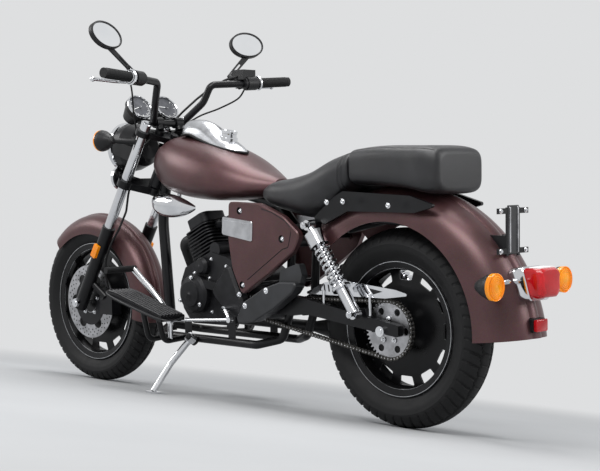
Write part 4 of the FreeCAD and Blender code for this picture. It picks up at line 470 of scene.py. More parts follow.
BRIGHT_HALF_WIDTH, BRIGHT_LOW_Z = 118, 400
x, y, z = face_centres("tail_lamp_base")
bright = (np.abs(y) < BRIGHT_HALF_WIDTH) & (z > BRIGHT_LOW_Z)
paint("tail_lamp_base", moulded_abs, chrome_plate, bright)

for name, ring_x in (("headlamp_shell", 1319), ("horn", 1345)):
    paint(name, powder_coat, chrome_plate, face_centres(name)[0] > ring_x)

BEAD_RADIUS = {"rear": 190.5, "front": 203.0}
TURNED_EDGE = 16.4
for which, bead in BEAD_RADIUS.items():
    x, y, z = face_centres(which + "_rim")
    radius = np.hypot(x - axle[which][0], z - axle[which][2])
    paint(which + "_rim", wheel_enamel, machined_alloy, radius > bead + TURNED_EDGE)

# %% [markdown]
# ## Making pieces
# What is too fine or too soft for the frame is built here as plain meshes: lathe turnings for
# bolts, bezels and dials, swept tubes for cables and piping, and grids of points for tyres and
# cushions. Modifiers could do some of it, but numpy gives the exact radius of every bolt. Points
# are worked out upright, in millimetres, and the matrix leans them into the frame.

# %% Directions and grids
def unit(vector):
    """The vector at length one."""
    vector = np.asarray(vector, float)
    return vector / np.linalg.norm(vector)


def square_to(axis):
    """Two directions square to an axis and to each other."""
    helper = np.array((0.0, 1.0, 0.0)) if abs(unit(axis)[1]) < 0.9 else np.array((1.0, 0.0, 0.0))
    first = unit(np.cross(helper, axis))
    return first, np.cross(unit(axis), first)


def grid_faces(rows, columns, closed=False, lids=False):
    """Quads between rings of points; a closed grid joins its ends, and lids cover them."""
    row = np.arange(rows if closed else rows - 1)[:, None]
    column = np.arange(columns)[None, :]
    next_row, next_column = (row + 1) % rows, (column + 1) % columns
    corners = (
        row * columns + column,
        row * columns + next_column,
        next_row * columns + next_column,
        next_row * columns + column,
    )
    shape = (row.size, column.size)
    faces = np.stack([np.broadcast_to(c, shape) for c in corners], -1).reshape(-1, 4).tolist()
    if lids:
        faces.append(list(range(columns)))
        faces.append(list(range((rows - 1) * columns, rows * columns)))
    return faces


print("a grid of 4 by 6 points has", len(grid_faces(4, 6)), "faces")

# %% [markdown]
# Three shapes make nearly everything. A lathe turning is a profile swung round an axis. A tube is
# a ring carried along a smooth line and kept from twisting. A plate is an outline with its edges
# broken, because no real edge is sharp, and the thin bevel catches the light.

# %% Turnings, tubes and plates
def turned(centre, axis, profile, steps, ring=False):
    """(Along, radius) pairs turned about an axis. A ring is open in the middle."""
    first, second = square_to(axis)
    angles = 2 * np.pi * np.arange(steps) / steps
    spokes = np.outer(np.cos(angles), first) + np.outer(np.sin(angles), second)
    rings = [np.asarray(centre) + unit(axis) * along + spokes * radius for along, radius in profile]
    return np.vstack(rings), grid_faces(len(profile), steps, closed=ring, lids=not ring)


def smooth_line(points, count):
    """A smooth line through the points, by Catmull and Rom's rule."""
    points = np.asarray(points, float)
    last = len(points) - 1
    line = []
    for spot in np.linspace(0, last, count):
        index = min(int(spot), last - 1)
        t = spot - index
        a, b, c, d = (points[min(max(index + k, 0), last)] for k in (-1, 0, 1, 2))
        bend = (2 * a - 5 * b + 4 * c - d) * t * t + (3 * b - a - 3 * c + d) * t**3
        line.append(0.5 * (2 * b + (c - a) * t + bend))
    return np.array(line)


def tube(line, radius, sides, closed=False):
    """A round tube along a line; radius may be one number or one for each point."""
    line = np.asarray(line, float)
    ahead_of = np.roll(line, -1, 0) - np.roll(line, 1, 0)
    if not closed:
        ahead_of[0] = line[1] - line[0]
        ahead_of[-1] = line[-1] - line[-2]
    radii = np.broadcast_to(radius, len(line))
    angles = 2 * np.pi * np.arange(sides) / sides
    first = square_to(ahead_of[0])[0]
    rings = []
    for spot, way, size in zip(line, ahead_of, radii):
        way = unit(way)
        first = unit(first - way * np.dot(first, way))
        second = np.cross(way, first)
        rings.append(spot + size * (np.outer(np.cos(angles), first) + np.outer(np.sin(angles), second)))
    return np.vstack(rings), grid_faces(len(line), sides, closed=closed, lids=not closed)


def plate(outline, near, far, chamfer):
    """A flat plate across the machine, from (x, z) corners, with broken edges."""
    flat = np.asarray(outline, float)
    middle = flat.mean(0)
    reach = np.linalg.norm(flat - middle, axis=1, keepdims=True)
    shrunk = middle + (flat - middle) * (1 - chamfer / reach)
    inward = chamfer if far > near else -chamfer
    rows = ((shrunk, near), (flat, near + inward), (flat, far - inward), (shrunk, far))
    points = [np.column_stack((ring[:, 0], np.full(len(ring), y), ring[:, 1])) for ring, y in rows]
    return np.vstack(points), grid_faces(len(rows), len(flat), lids=True)


print("a plate with 4 corners has", len(plate(((0, 0), (9, 0), (9, 9), (0, 9)), 0, 3, 1)[1]), "faces")

# %% [markdown]
# Many small shapes become one piece, which keeps a hundred bolts to a single object. The piece is
# leaned into the frame, shaded smooth up to a sharp angle, and told which body it rides on and
# which finish slot it belongs to.

# %% Turning shapes into a piece
def piece(name, shapes, finish, body, smooth_deg=38):
    """One object from several shapes, which rides on a body and takes a finish."""
    points = []
    faces = []
    start = 0
    for shape_points, shape_faces in shapes:
        points.append(shape_points)
        faces.extend([[index + start for index in face] for face in shape_faces])
        start += len(shape_points)
    matrix = np.array(upright)
    leaned = np.vstack(points) @ matrix[:3, :3].T + matrix[:3, 3]
    mesh = bpy.data.meshes.new(name)
    mesh.from_pydata(leaned.tolist(), [], faces)
    editable = bmesh.new()
    editable.from_mesh(mesh)
    bmesh.ops.recalc_face_normals(editable, faces=editable.faces)
    editable.to_mesh(mesh)
    editable.free()
    mesh.shade_smooth()
    mesh.set_sharp_from_angle(angle=math.radians(smooth_deg))
    mesh.materials.append(finish)
    made = bpy.data.objects.new(name, mesh)
    bpy.context.scene.collection.objects.link(made)
    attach(made, body)
    print(name, "has", len(mesh.polygons), "faces")
    return made

# %% [markdown]
# ## Upholstery
# The seat is one vinyl cover over moulded foam: a dished saddle that is narrow between the knees,
# and a flat pillion pad behind a step. Cloth simulation suits loose cushions. This cover is glued
# and stapled tight, so its form is the foam's: smooth sections along the machine. Each station
# is its place, half width, low and high edge, height of the widest part and squareness.

# %% Sections of the saddle and the pillion pad
SADDLE_STATIONS = (
    (536, 92, 694, 734, 0.5, 3.0),
    (500, 112, 676, 752, 0.5, 3.0),
    (410, 132, 650, 768, 0.55, 2.8),
    (300, 148, 638, 794, 0.55, 2.8),
    (215, 146, 668, 832, 0.5, 2.8),
    (132, 128, 734, 854, 0.5, 2.8),
)
PILLION_STATIONS = (
    (131.6, 122, 744, 854, 0.5, 4.6),
    (60, 126, 742, 861, 0.5, 4.6),
    (-80, 126, 730, 861, 0.5, 4.6),
    (-178, 120, 716, 856, 0.5, 4.6),
    (-208, 108, 720, 848, 0.5, 4.6),
)


def through_stations(stations, x):
    """The six numbers of a section at x, smoothly between the stations."""
    table = np.array(stations, float)[::-1]
    slopes = np.gradient(table, table[:, 0], axis=0)
    index = min(max(np.searchsorted(table[:, 0], x) - 1, 0), len(table) - 2)
    low, high = table[index], table[index + 1]
    span = high[0] - low[0]
    t = (x - low[0]) / span
    ends = (2 * t**3 - 3 * t**2 + 1) * low + (3 * t**2 - 2 * t**3) * high
    pulls = (t**3 - 2 * t**2 + t) * slopes[index] + (t**3 - t**2) * slopes[index + 1]
    return ends + span * pulls


def section(stations, x, inset, angles):
    """Points round the pad at x, pulled in by an inset."""
    _, half, low, high, shoulder, squareness = through_stations(stations, x)
    half, low, high = half - inset, low + inset, high - inset
    middle = low + (high - low) * shoulder
    bend = 2.0 / squareness
    across = np.sign(np.cos(angles)) * np.abs(np.cos(angles)) ** bend
    rise = np.sign(np.sin(angles)) * np.abs(np.sin(angles)) ** bend
    height = np.where(rise > 0, high - middle, middle - low)
    return np.column_stack((np.full(len(angles), x), half * across, middle + height * rise))


print("saddle is", SADDLE_STATIONS[0][0] - SADDLE_STATIONS[-1][0], "mm long")

# %% [markdown]
# The ends of each pad roll over to the base, and two sewn channels cross the saddle ahead of the
# step. Both are an inset of the section: a quarter circle at the ends and a narrow bell at a seam.
# Extra rows of points are set there, so that the folds stay crisp.

# %% Covers over the foam
SADDLE_SEAMS = (152.0, 163.0)
SEAM_HALF_WIDTH, SEAM_DEPTH = 1.6, 2.2
COVER_COLUMNS, COVER_ROWS, END_ROWS = 144, 90, 10


def cover(stations, front_round, rear_round, seams):
    """A closed pad with rounded ends and channels across it."""
    front, rear = stations[0][0], stations[-1][0]
    spots = set(np.linspace(rear, front, COVER_ROWS).tolist())
    for depth in np.linspace(0, 1, END_ROWS) ** 1.6:
        spots.add(front - front_round * depth)
        spots.add(rear + rear_round * depth)
    for seam in seams:
        spots.update((seam + np.linspace(-2, 2, 9) * SEAM_HALF_WIDTH).tolist())
    angles = 2 * np.pi * np.arange(COVER_COLUMNS) / COVER_COLUMNS
    rings = []
    for x in sorted(spots):
        inset = 0.0
        for distance, size in ((front - x, front_round), (x - rear, rear_round)):
            if distance < size:
                inset += size - math.sqrt(max(size**2 - (size - distance) ** 2, 0.0))
        for seam in seams:
            inset += SEAM_DEPTH * math.exp(-(((x - seam) / SEAM_HALF_WIDTH) ** 2))
        rings.append(section(stations, x, inset, angles))
    return np.vstack(rings), grid_faces(len(rings), COVER_COLUMNS, lids=True)


saddle_shape = cover(SADDLE_STATIONS, front_round=18, rear_round=9, seams=SADDLE_SEAMS)
saddle_cover = piece("saddle_cover", [saddle_shape], vinyl, "chassis", 60)
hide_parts("saddle")
pillion_shape = cover(PILLION_STATIONS, front_round=7, rear_round=17, seams=())
pillion_cover = piece("pillion_cover", [pillion_shape], vinyl, "chassis", 60)
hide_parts("pillion_pad")

# %% [markdown]
# Thread shows beside each channel as short raised stitches, and the pillion's top panel is sewn
# to its side band over a thin welt. Stitches are 5 mm apart on such a seat. They are drawn a
# little thick, because real thread is under half a pixel here.

# %% Stitches and welt
STITCH_PITCH, STITCH_LENGTH, STITCH_RADIUS, STITCH_TIP = 6.5, 4.2, 0.75, 0.35
fine = np.linspace(-0.15, np.pi + 0.15, 600)
stitches = []
for seam in SADDLE_SEAMS:
    for offset in (-3.4, 3.4):
        line = section(SADDLE_STATIONS, seam + offset, -0.2, fine)
        lengths = np.concatenate(([0], np.cumsum(np.linalg.norm(np.diff(line, axis=0), axis=1))))
        for start in np.arange(3, lengths[-1] - 6, STITCH_PITCH):
            ends = [
                [np.interp(spot, lengths, line[:, axis]) for axis in range(3)]
                for spot in (start, start + STITCH_LENGTH / 2, start + STITCH_LENGTH)
            ]
            stitches.append(tube(ends, (STITCH_TIP, STITCH_RADIUS, STITCH_TIP), 6))
piece("saddle_stitches", stitches, vinyl, "chassis", 80)

WELT_ANGLE = math.radians(47)
WELT_ENDS = (110, -186)
welt = []
for (start, end), angle in ((WELT_ENDS, WELT_ANGLE), (WELT_ENDS[::-1], np.pi - WELT_ANGLE)):
    for x in np.linspace(start, end, 40):
        welt.append(section(PILLION_STATIONS, x, 0.3, np.array((angle,)))[0])
piece("pillion_welt", [tube(welt, 1.5, 8)], vinyl, "chassis", 80)

# %% [markdown]
# ## Tyres
# A cruiser tyre has a round crown cut by zigzag grooves, with slanted grooves that run out over
# the shoulders. The frame has a plain carcass. Here each tyre is one grid of points round the
# wheel, and a function of angle and width sinks the grooves, which keeps them sharp without
# cutting hundreds of boxes.

# %% Tread
AROUND, GROOVE_DEPTH = 640, 5.5
TYRES = {
    "rear": {"width": 130.0, "rim": 96.0, "blocks": 52},
    "front": {"width": 110.0, "rim": 80.0, "blocks": 56},
}
CROWN_RADIUS, FLANGE_HEIGHT = 75.0, 17.0
# Grooves in shares of the tyre's width, and in shares of a block.
ZIGZAG_PLACE, ZIGZAG_SWING, ZIGZAG_HALF = 0.16, 0.018, 0.017
SHOULDER_SLANT, SHOULDER_HALF, SIPE_HALF, SIPE_DEPTH = 1.7, 0.075, 0.05, 0.55


def carcass(radius, width, bead, rim):
    """(Radius, across, share of tread) from one bead over the crown to the other."""
    flange = bead + FLANGE_HEIGHT
    edge = math.asin((width / 2 - 10) / CROWN_RADIUS)
    rows = []
    for angle in np.linspace(-edge, edge, 45):
        rows.append((radius - CROWN_RADIUS * (1 - math.cos(angle)), CROWN_RADIUS * math.sin(angle), 1.0))
    shoulder, across = rows[-1][0], rows[-1][1]
    widest = (flange + radius) / 2 + 2
    side = []
    for t in np.linspace(0, 1, 9)[1:]:
        swell = (width / 2 - across) * math.sin(t * np.pi / 2)
        side.append((shoulder + (widest - shoulder) * t, across + swell, 1 - t))
    for t in np.linspace(0, 1, 10)[1:]:
        drop = widest + (flange + 1 - widest) * t
        tuck = (width / 2 - rim / 2 + 6) * (1 - math.cos(t * np.pi / 2))
        side.append((drop, width / 2 - tuck, 0.0))
    side.append((bead + 0.5, rim / 2 - 9, 0.0))
    side.append((bead + 0.5, rim / 2 - 20, 0.0))
    mirrored = [(r, -y, share) for r, y, share in reversed(side)]
    return np.array(mirrored + rows + side)


def groove_depth(turn, across, share, width):
    """How deep the tread is cut, from 0 to 1, at a turn in blocks and a place across."""
    zigzag = np.abs((turn % 1.0) - 0.5) * 4 - 1
    depth = np.zeros_like(turn)
    for centre in (-ZIGZAG_PLACE, ZIGZAG_PLACE):
        off = across / width - centre - ZIGZAG_SWING * zigzag
        depth = np.maximum(depth, np.clip(1.6 - np.abs(off) / ZIGZAG_HALF, 0, 1))
    side = np.sign(across)
    slant = turn + across / width * SHOULDER_SLANT * side + np.where(side > 0, 0.5, 0.0)
    lateral = np.clip(1.9 - np.abs((slant % 1.0) - 0.5) / SHOULDER_HALF, 0, 1)
    lateral *= (np.abs(across) / width > ZIGZAG_PLACE) & (share > 0.25)
    sipe = np.clip(1.4 - np.abs(((turn + across / width) % 1.0) - 0.5) / SIPE_HALF, 0, 1) * SIPE_DEPTH
    sipe *= np.abs(across) / width < 0.13
    return np.maximum.reduce([depth * (share > 0.9), lateral, sipe])


print("grooves are", GROOVE_DEPTH, "mm deep")

# %% [markdown]
# Both tyres come from the same two functions, with their own sizes and number of blocks. Three
# fine ribs run round each side wall, as the mould leaves them, where a real tyre has its words.

# %% Both tyres
RIB_PLACES, RIB_HALF_WIDTH, RIB_HEIGHT = (0.35, 0.52, 0.6), 1.6, 0.8
for which, size in TYRES.items():
    outer, bead = WHEEL_RADIUS[which], BEAD_RADIUS[which]
    rows = carcass(outer, size["width"], bead, size["rim"])
    turns = np.arange(AROUND) / AROUND
    radius, across, share = (np.repeat(rows[:, k][:, None], AROUND, 1) for k in range(3))
    turn = np.repeat(turns[None, :], len(rows), 0) * size["blocks"]
    radius = radius - GROOVE_DEPTH * groove_depth(turn, across, share, size["width"])
    for rib in RIB_PLACES:
        height = bead + FLANGE_HEIGHT + rib * (outer - bead - FLANGE_HEIGHT)
        bulge = np.exp(-(((radius - height) / RIB_HALF_WIDTH) ** 2)) * (share < 0.6)
        across = across + np.sign(across) * bulge * RIB_HEIGHT
    angles = 2 * np.pi * turns[None, :]
    centre = axle[which]
    grid = np.stack(
        (centre[0] + radius * np.cos(angles), across, centre[2] + radius * np.sin(angles)), -1
    )
    shape = (grid.reshape(-1, 3), grid_faces(len(rows), AROUND))
    tyre = piece(which + "_tyre_tread", [shape], tyre_rubber, which + "_wheel", 28)
    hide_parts(which + "_tyre")

# %% [markdown]
# The rims are black with a bright line where the lathe cut through the paint. Each line is a thin
# ring on the rim's lip, one near its edge and one on the step inside, on both sides.

# %% Turned edges of the rims
EDGE_HALF = 0.8
for which, size in TYRES.items():
    edges = []
    for side in (1, -1):
        for out, across in ((14.5, 0.8), (-6.0, -7.0)):
            spot = axle[which] + np.array((0, side * (size["rim"] / 2 + across), 0))
            low, high = BEAD_RADIUS[which] + out - EDGE_HALF, BEAD_RADIUS[which] + out + EDGE_HALF
            ring = ((-EDGE_HALF, low), (EDGE_HALF, low), (EDGE_HALF, high), (-EDGE_HALF, high))
            edges.append(turned(spot, (0, 1, 0), ring, 160, ring=True))
    piece(which + "_rim_edges", edges, machined_alloy, which + "_wheel", 60)

# %% [markdown]
# ## Roller chain
# A chain is pairs of outer plates riveted through pairs of inner plates, with a roller on each
# pin, half an inch apart. The frame has the run as a plain band. Here the line of the chain is
# walked round both sprockets, and a pin is set at every pitch.

# %% The line of the chain
CHAIN_Y, CHAIN_PITCH = 84.0, 12.7
REAR_TEETH, FRONT_TEETH = 43, 15
sprocket_front = np.array((610.0, 345.0))
sprocket_rear = axle["rear"][[0, 2]]
big, small = (CHAIN_PITCH / 2 / math.sin(math.pi / teeth) for teeth in (REAR_TEETH, FRONT_TEETH))
run = sprocket_front - sprocket_rear
tilt = math.atan2(run[1], run[0])
open_angle = math.acos((big - small) / np.linalg.norm(run))
line = []
for angle in np.linspace(tilt + open_angle, tilt + 2 * np.pi - open_angle, 120):
    line.append(sprocket_rear + big * np.array((math.cos(angle), math.sin(angle))))
for angle in np.linspace(tilt - open_angle, tilt + open_angle, 50):
    line.append(sprocket_front + small * np.array((math.cos(angle), math.sin(angle))))
line.append(line[0])
line = np.array(line)
walked = np.concatenate(([0], np.cumsum(np.linalg.norm(np.diff(line, axis=0), axis=1))))
links = int(round(walked[-1] / CHAIN_PITCH / 2)) * 2
stops = np.linspace(0, walked[-1], links, endpoint=False)
pins = np.column_stack([np.interp(stops, walked, line[:, k]) for k in range(2)])
print("links", links, "pitch", round(walked[-1] / links, 2))

# %% [markdown]
# A link's plate is two round ends with a waist between them. Outer and inner links take turns, so
# every second pair of plates lies closer in, and each pin carries a roller between them.

# %% Links, rollers and pins
PLATE_RADIUS, PLATE_WAIST, PLATE_WALL, PLATE_CHAMFER = 5.9, 4.3, 1.5, 0.3
OUTER_HALF_GAP, INNER_HALF_GAP = 6.0, 4.3
ROLLER_PROFILE = ((0, 4.1), (8.4, 4.1))
PIN_PROFILE = ((0, 1.4), (0.5, 2.1), (15.3, 2.1), (15.8, 1.4))
plates = []
rollers = []
for index in range(links):
    start, end = pins[index], pins[(index + 1) % links]
    way = unit(end - start)
    across = np.array((-way[1], way[0]))
    middle = (start + end) / 2
    outline = []
    for centre, first, waist in ((end, -0.65, PLATE_WAIST), (start, 0.35, -PLATE_WAIST)):
        for angle in np.linspace(first * np.pi, (first + 1.3) * np.pi, 8):
            outline.append(centre + PLATE_RADIUS * (way * math.cos(angle) + across * math.sin(angle)))
        outline.append(middle + across * waist)
    half_gap = OUTER_HALF_GAP if index % 2 else INNER_HALF_GAP
    for side in (-1, 1):
        near = CHAIN_Y + side * half_gap
        plates.append(plate(outline, near, near + side * PLATE_WALL, PLATE_CHAMFER))
    for profile, steps in ((ROLLER_PROFILE, 12), (PIN_PROFILE, 10)):
        left = CHAIN_Y - profile[-1][0] / 2
        rollers.append(turned((start[0], left, start[1]), (0, 1, 0), profile, steps))
chain_plates = piece("chain_plates", plates, oiled_steel, "chassis", 30)
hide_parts("chain")
piece("chain_rollers", rollers, brushed_steel, "chassis", 30)

# %% [markdown]
# ## Fasteners
# Bolts tell the eye how big the machine is. Each has a washer, a head and a socket or six flats.
# They are listed by where they sit and which way they face, and made by one small function.

# %% Bolts and nuts
def bolt(place, way, radius, height, socket=True):
    """A washer and a head: round with a socket, or with six flats."""
    washer = turned(place, way, ((-1, radius * 1.35), (1.0, radius * 1.35), (1.3, radius * 1.2)), 24)
    top = 1.2 + height
    if socket:
        profile = (
            (1.2, radius),
            (top - 1, radius),
            (top, radius * 0.82),
            (top, radius * 0.5),
            (top - height * 0.6, radius * 0.46),
        )
        return [washer, turned(place, way, profile, 20)]
    flats = turned(place, way, ((1.2, radius), (top - 0.8, radius), (top, radius * 0.86)), 6)
    tip = turned(place, way, ((top, radius * 0.55), (top + 1.6, radius * 0.5)), 16)
    return [washer, flats, tip]


def both_sides(spots, y, radius, height, socket=True):
    """The same bolts on the left and the right."""
    shapes = []
    for x, z in spots:
        for side in (1, -1):
            shapes += bolt((x, side * y, z), (0, side, 0), radius, height, socket)
    return shapes


def round_spots(centre, y, radius, count, phase):
    """Evenly spaced spots on a circle that faces sideways, from its centre's x and z."""
    angles = 2 * np.pi * (np.arange(count) + phase) / count
    return [(centre[0] + radius * np.cos(a), y, centre[1] + radius * np.sin(a)) for a in angles]


print("a bolt is made of", len(bolt((0, 0, 0), (0, 0, 1), 5, 5)), "shapes")

# %% [markdown]
# On the chassis, bolts hold the mudguard rails, side covers, pivot covers, shock absorbers and
# footboards. The engine's left side has three on its round cover, small ones on the case, and one
# over the front sprocket. Four more hold the bracket at the tail.

# %% Bolts on the chassis
RAIL_BOLTS = ((178, 692), (112, 695), (-67, 685))
PIVOT_COVER_BOLTS = ((539, 354), (441, 408))
SHOCK_NUTS = ((81, 356), (269, 620))
BOARD_BOLTS = ((916, 250),)
ROUND_COVER, ROUND_COVER_Y, ROUND_COVER_RING = (845, 372), 136, 57
CASE_SCREWS, CASE_FACE_Y = ((779, 491), (864, 441), (788, 427), (705, 470), (778, 313)), 98.0
PINION_BOLT = (610, 129.0, 383)
BRACKET_X, BRACKET_BOLT_Y, BRACKET_BOLT_HEIGHTS = -392, 60, (556, 670)
chassis_bolts = both_sides(RAIL_BOLTS, y=166, radius=6.2, height=5)
chassis_bolts += both_sides(COVER_BOLTS, y=154, radius=5.6, height=4)
chassis_bolts += both_sides(PIVOT_COVER_BOLTS, y=172, radius=7.5, height=3)
chassis_bolts += both_sides(SHOCK_NUTS, y=178, radius=8, height=4, socket=False)
chassis_bolts += both_sides(BOARD_BOLTS, y=205, radius=8, height=5)
for spot in round_spots(ROUND_COVER, ROUND_COVER_Y, ROUND_COVER_RING, 3, 95 / 120):
    chassis_bolts += bolt(spot, (0, 1, 0), 5.5, 5)
for x, z in CASE_SCREWS:
    chassis_bolts += bolt((x, CASE_FACE_Y, z), (0, 1, 0), 4.5, 4)
chassis_bolts += bolt(PINION_BOLT, (0, 1, 0), 7, 5)
for height in BRACKET_BOLT_HEIGHTS:
    for side in (1, -1):
        chassis_bolts += bolt((BRACKET_X, side * BRACKET_BOLT_Y, height), (-1, 0, 0), 5.5, 4)
piece("chassis_bolts", chassis_bolts, chrome_plate, "chassis")

# %% [markdown]
# Each fork leg ends in a stepped cap with six flats, the stem has a large nut between them, and
# small bolts clamp the bar. Five bolts hold each wheel's sprocket or disc to its hub.

# %% Bolts on the steering and the wheels
STANCHION_TOP, UPPER_CLAMP, CLAMP_WALL, FORK_HALF_TRACK = 762.0, 727.0, 28.0, 100
BAR_BOLT_PLACES, BAR_BOLT_Y, BAR_BOLT_Z = (1100, 1122), 66, 975
steering_bolts = []
for side in (1, -1):
    cap = fork_point(STANCHION_TOP - 1, side * FORK_HALF_TRACK)
    for profile, steps in (
        (((0, 20), (5, 20), (7, 18), (7, 11), (4, 10.5)), 28),
        (((4, 9), (11, 9), (12, 8)), 6),
    ):
        steering_bolts.append(turned(cap, fork_up, profile, steps))
steering_bolts += bolt(fork_point(UPPER_CLAMP + CLAMP_WALL / 2, 0), fork_up, 15, 7, socket=False)
for x in BAR_BOLT_PLACES:
    for side in (1, -1):
        steering_bolts += bolt((x, side * BAR_BOLT_Y, BAR_BOLT_Z), (0, 0, 1), 5, 6)
piece("steering_bolts", steering_bolts, chrome_plate, "steering")

for which, y, ring_radius in (("rear", 90.0, 36.0), ("front", 63.0, 47.0)):
    wheel_bolts = []
    for spot in round_spots(axle[which][[0, 2]], y, ring_radius, 5, 0.25):
        wheel_bolts += bolt(spot, (0, 1, 0), 6, 5, socket=which == "front")
    piece(which + "_hub_bolts", wheel_bolts, chrome_plate, which + "_wheel")

# %% [markdown]
# ## Instruments
# Two round instruments stand above the clamp. Each has a chrome bezel, a grey printed card with
# white marks, and a white needle. The marks are real thin shapes, so they stay sharp at any size.

# %% Dials
GAUGE_PLACE, GAUGE_TILT_DEG, DIAL_RADIUS = (1186.0, 62.0, 1022.0), 34.0, 45.5
BEZEL_PROFILE = ((-6, 50.4), (-1, 50.4), (2.2, 48.5), (2.6, 46.5), (0.5, 44.6), (-4, 44.6), (-6, 46))
DIAL_SWEEP_DEG, MARK_OUTER, MARK_LIFT, NEEDLE_LIFT = 260, 42, -3.9, -2.6
gauge_tilt = math.radians(GAUGE_TILT_DEG)
facing = np.array((-math.cos(gauge_tilt), 0, math.sin(gauge_tilt)))
level_way = np.array((0.0, 1.0, 0.0))
upward = np.cross(level_way, facing) * -1
bezels = []
cards = []
marks = []


def mark(centre, angle, inner, outer, width, lift):
    """A thin bar on a dial, from one radius to another."""
    way = upward * math.cos(angle) - level_way * math.sin(angle)
    beside = np.cross(facing, way)
    narrow = width * 0.8
    corners = []
    for height in (0, 0.5):
        for along, off in ((inner, -width), (inner, width), (outer, narrow), (outer, -narrow)):
            corners.append(centre + facing * (lift + height) + way * along + beside * off)
    faces = [[0, 1, 2, 3], [4, 5, 6, 7], [0, 1, 5, 4], [1, 2, 6, 5], [2, 3, 7, 6], [3, 0, 4, 7]]
    return np.array(corners), faces


for side, count, reading in ((1, 41, -70), (-1, 31, -95)):
    centre = np.array((GAUGE_PLACE[0], side * GAUGE_PLACE[1], GAUGE_PLACE[2]))
    bezels.append(turned(centre, facing, BEZEL_PROFILE, 72, ring=True))
    cards.append(turned(centre, facing, ((-4.9, DIAL_RADIUS), (-4.0, DIAL_RADIUS)), 64))
    for index in range(count):
        inner, width = (37, 0.5) if index % 5 else (33, 0.9)
        angle = math.radians(DIAL_SWEEP_DEG * (index / (count - 1) - 0.5))
        marks.append(mark(centre, angle, inner, MARK_OUTER, width, MARK_LIFT))
    marks.append(mark(centre, math.radians(reading), -8, 34, 1.3, NEEDLE_LIFT))
    cards.append(turned(centre, facing, ((-3.9, 5.5), (-1.2, 5.0)), 24))
piece("dial_bezels", bezels, chrome_plate, "steering")
piece("dial_cards", cards, dial_card, "steering")
piece("dial_marks", marks, white_print_and_highlight, "steering", 20)

# %% [markdown]
# ## Grips, cables and mirrors
# Moulded rings on the grips keep the hand from slipping, and a bright flange ends each grip
# beside the switches. A small bright button closes the bar.

# %% Grips
GRIP_START, GRIP_END = (951.0, 279.0, 1105.0), (926.0, 425.0, 1114.0)
RING_PITCH = 5.2
RING_PROFILE = ((-1.5, 16.6), (-0.8, 18.0), (0.8, 18.0), (1.5, 16.6))
FLANGE_PROFILE = ((-6, 17), (-5, 25.5), (-1.5, 27), (1.5, 27), (5.5, 22), (7, 17))
BUTTON_PROFILE = ((-1, 5.5), (1.2, 5.5), (1.8, 4))
grip_rings = []
collars = []
for side in (1, -1):
    start = np.array(GRIP_START) * (1, side, 1)
    end = np.array(GRIP_END) * (1, side, 1)
    way = unit(end - start)
    length = np.linalg.norm(end - start)
    for along in np.arange(24, length - 8, RING_PITCH):
        grip_rings.append(turned(start + way * along, way, RING_PROFILE, 28, ring=True))
    collars.append(turned(start + way * 18, way, FLANGE_PROFILE, 36, ring=True))
    collars.append(turned(end + way * 0.5, way, BUTTON_PROFILE, 20))
piece("grip_rings", grip_rings, moulded_rubber, "steering")
piece("grip_collars", collars, chrome_plate, "steering")

# %% [markdown]
# A clutch and a throttle cable loop from the levers down to the steering head. They are steel
# inners in a stiff sleeve, held at both ends, so they stand in a bow and don't hang. A route of a
# few given points gives that bow.

# %% Control cables
CABLE_RADIUS = 3.1
CLUTCH_CABLE = (
    (1046, 226, 1096),
    (1074, 196, 1094),
    (1122, 150, 1062),
    (1166, 108, 990),
    (1178, 78, 900),
    (1166, 50, 820),
)
THROTTLE_CABLE = (
    (984, -262, 1084),
    (1008, -250, 1050),
    (1060, -206, 1016),
    (1120, -150, 984),
    (1172, -92, 926),
    (1176, -52, 840),
)
cables = []
for route in (CLUTCH_CABLE, THROTTLE_CABLE):
    line = smooth_line(route, 60)
    print("cable of", round(np.linalg.norm(np.diff(line, axis=0), axis=1).sum()), "mm")
    cables.append(tube(line, CABLE_RADIUS, 10))
piece("control_cables", cables, moulded_rubber, "steering")

# %% [markdown]
# A moulded rim holds each mirror's glass. It could be placed by numbers, but it is fitted to the
# glass itself: the directions in which that mesh spreads give its plane and its two axes.

# %% Moulded edges of the mirrors
MIRROR_EDGE_RADIUS, MIRROR_EDGE_LIFT, MIRROR_EDGE_SHARE = 2.0, 2.2, 0.985
glass = upright_points([vertex.co for vertex in nodes["mirror_glasses"].data.vertices])
mirror_edges = []
for side in (1, -1):
    corners = glass[glass[:, 1] * side > 0]
    centre = corners.mean(0)
    ways = np.linalg.svd(corners - centre)[2]
    normal = ways[2] * (-1 if ways[2][0] > 0 else 1)
    flat = (corners - centre) @ ways[:2].T
    middle = (flat.max(0) + flat.min(0)) / 2
    reach = (flat.max(0) - flat.min(0)) / 2
    angles = np.linspace(0, 2 * np.pi, 96, endpoint=False)
    oval = middle + reach * np.column_stack((np.cos(angles), np.sin(angles)))
    line = centre + oval @ ways[:2] * MIRROR_EDGE_SHARE + normal * MIRROR_EDGE_LIFT
    mirror_edges.append(tube(line, MIRROR_EDGE_RADIUS, 8, closed=True))
piece("mirror_edges", mirror_edges, moulded_abs, "steering", 80)

# %% [markdown]
# ## Lamps
# Signal lenses sit in thin rims, and moulded rings in them throw the light sideways. Each ring is
# a low ridge, turned about the lens's middle.

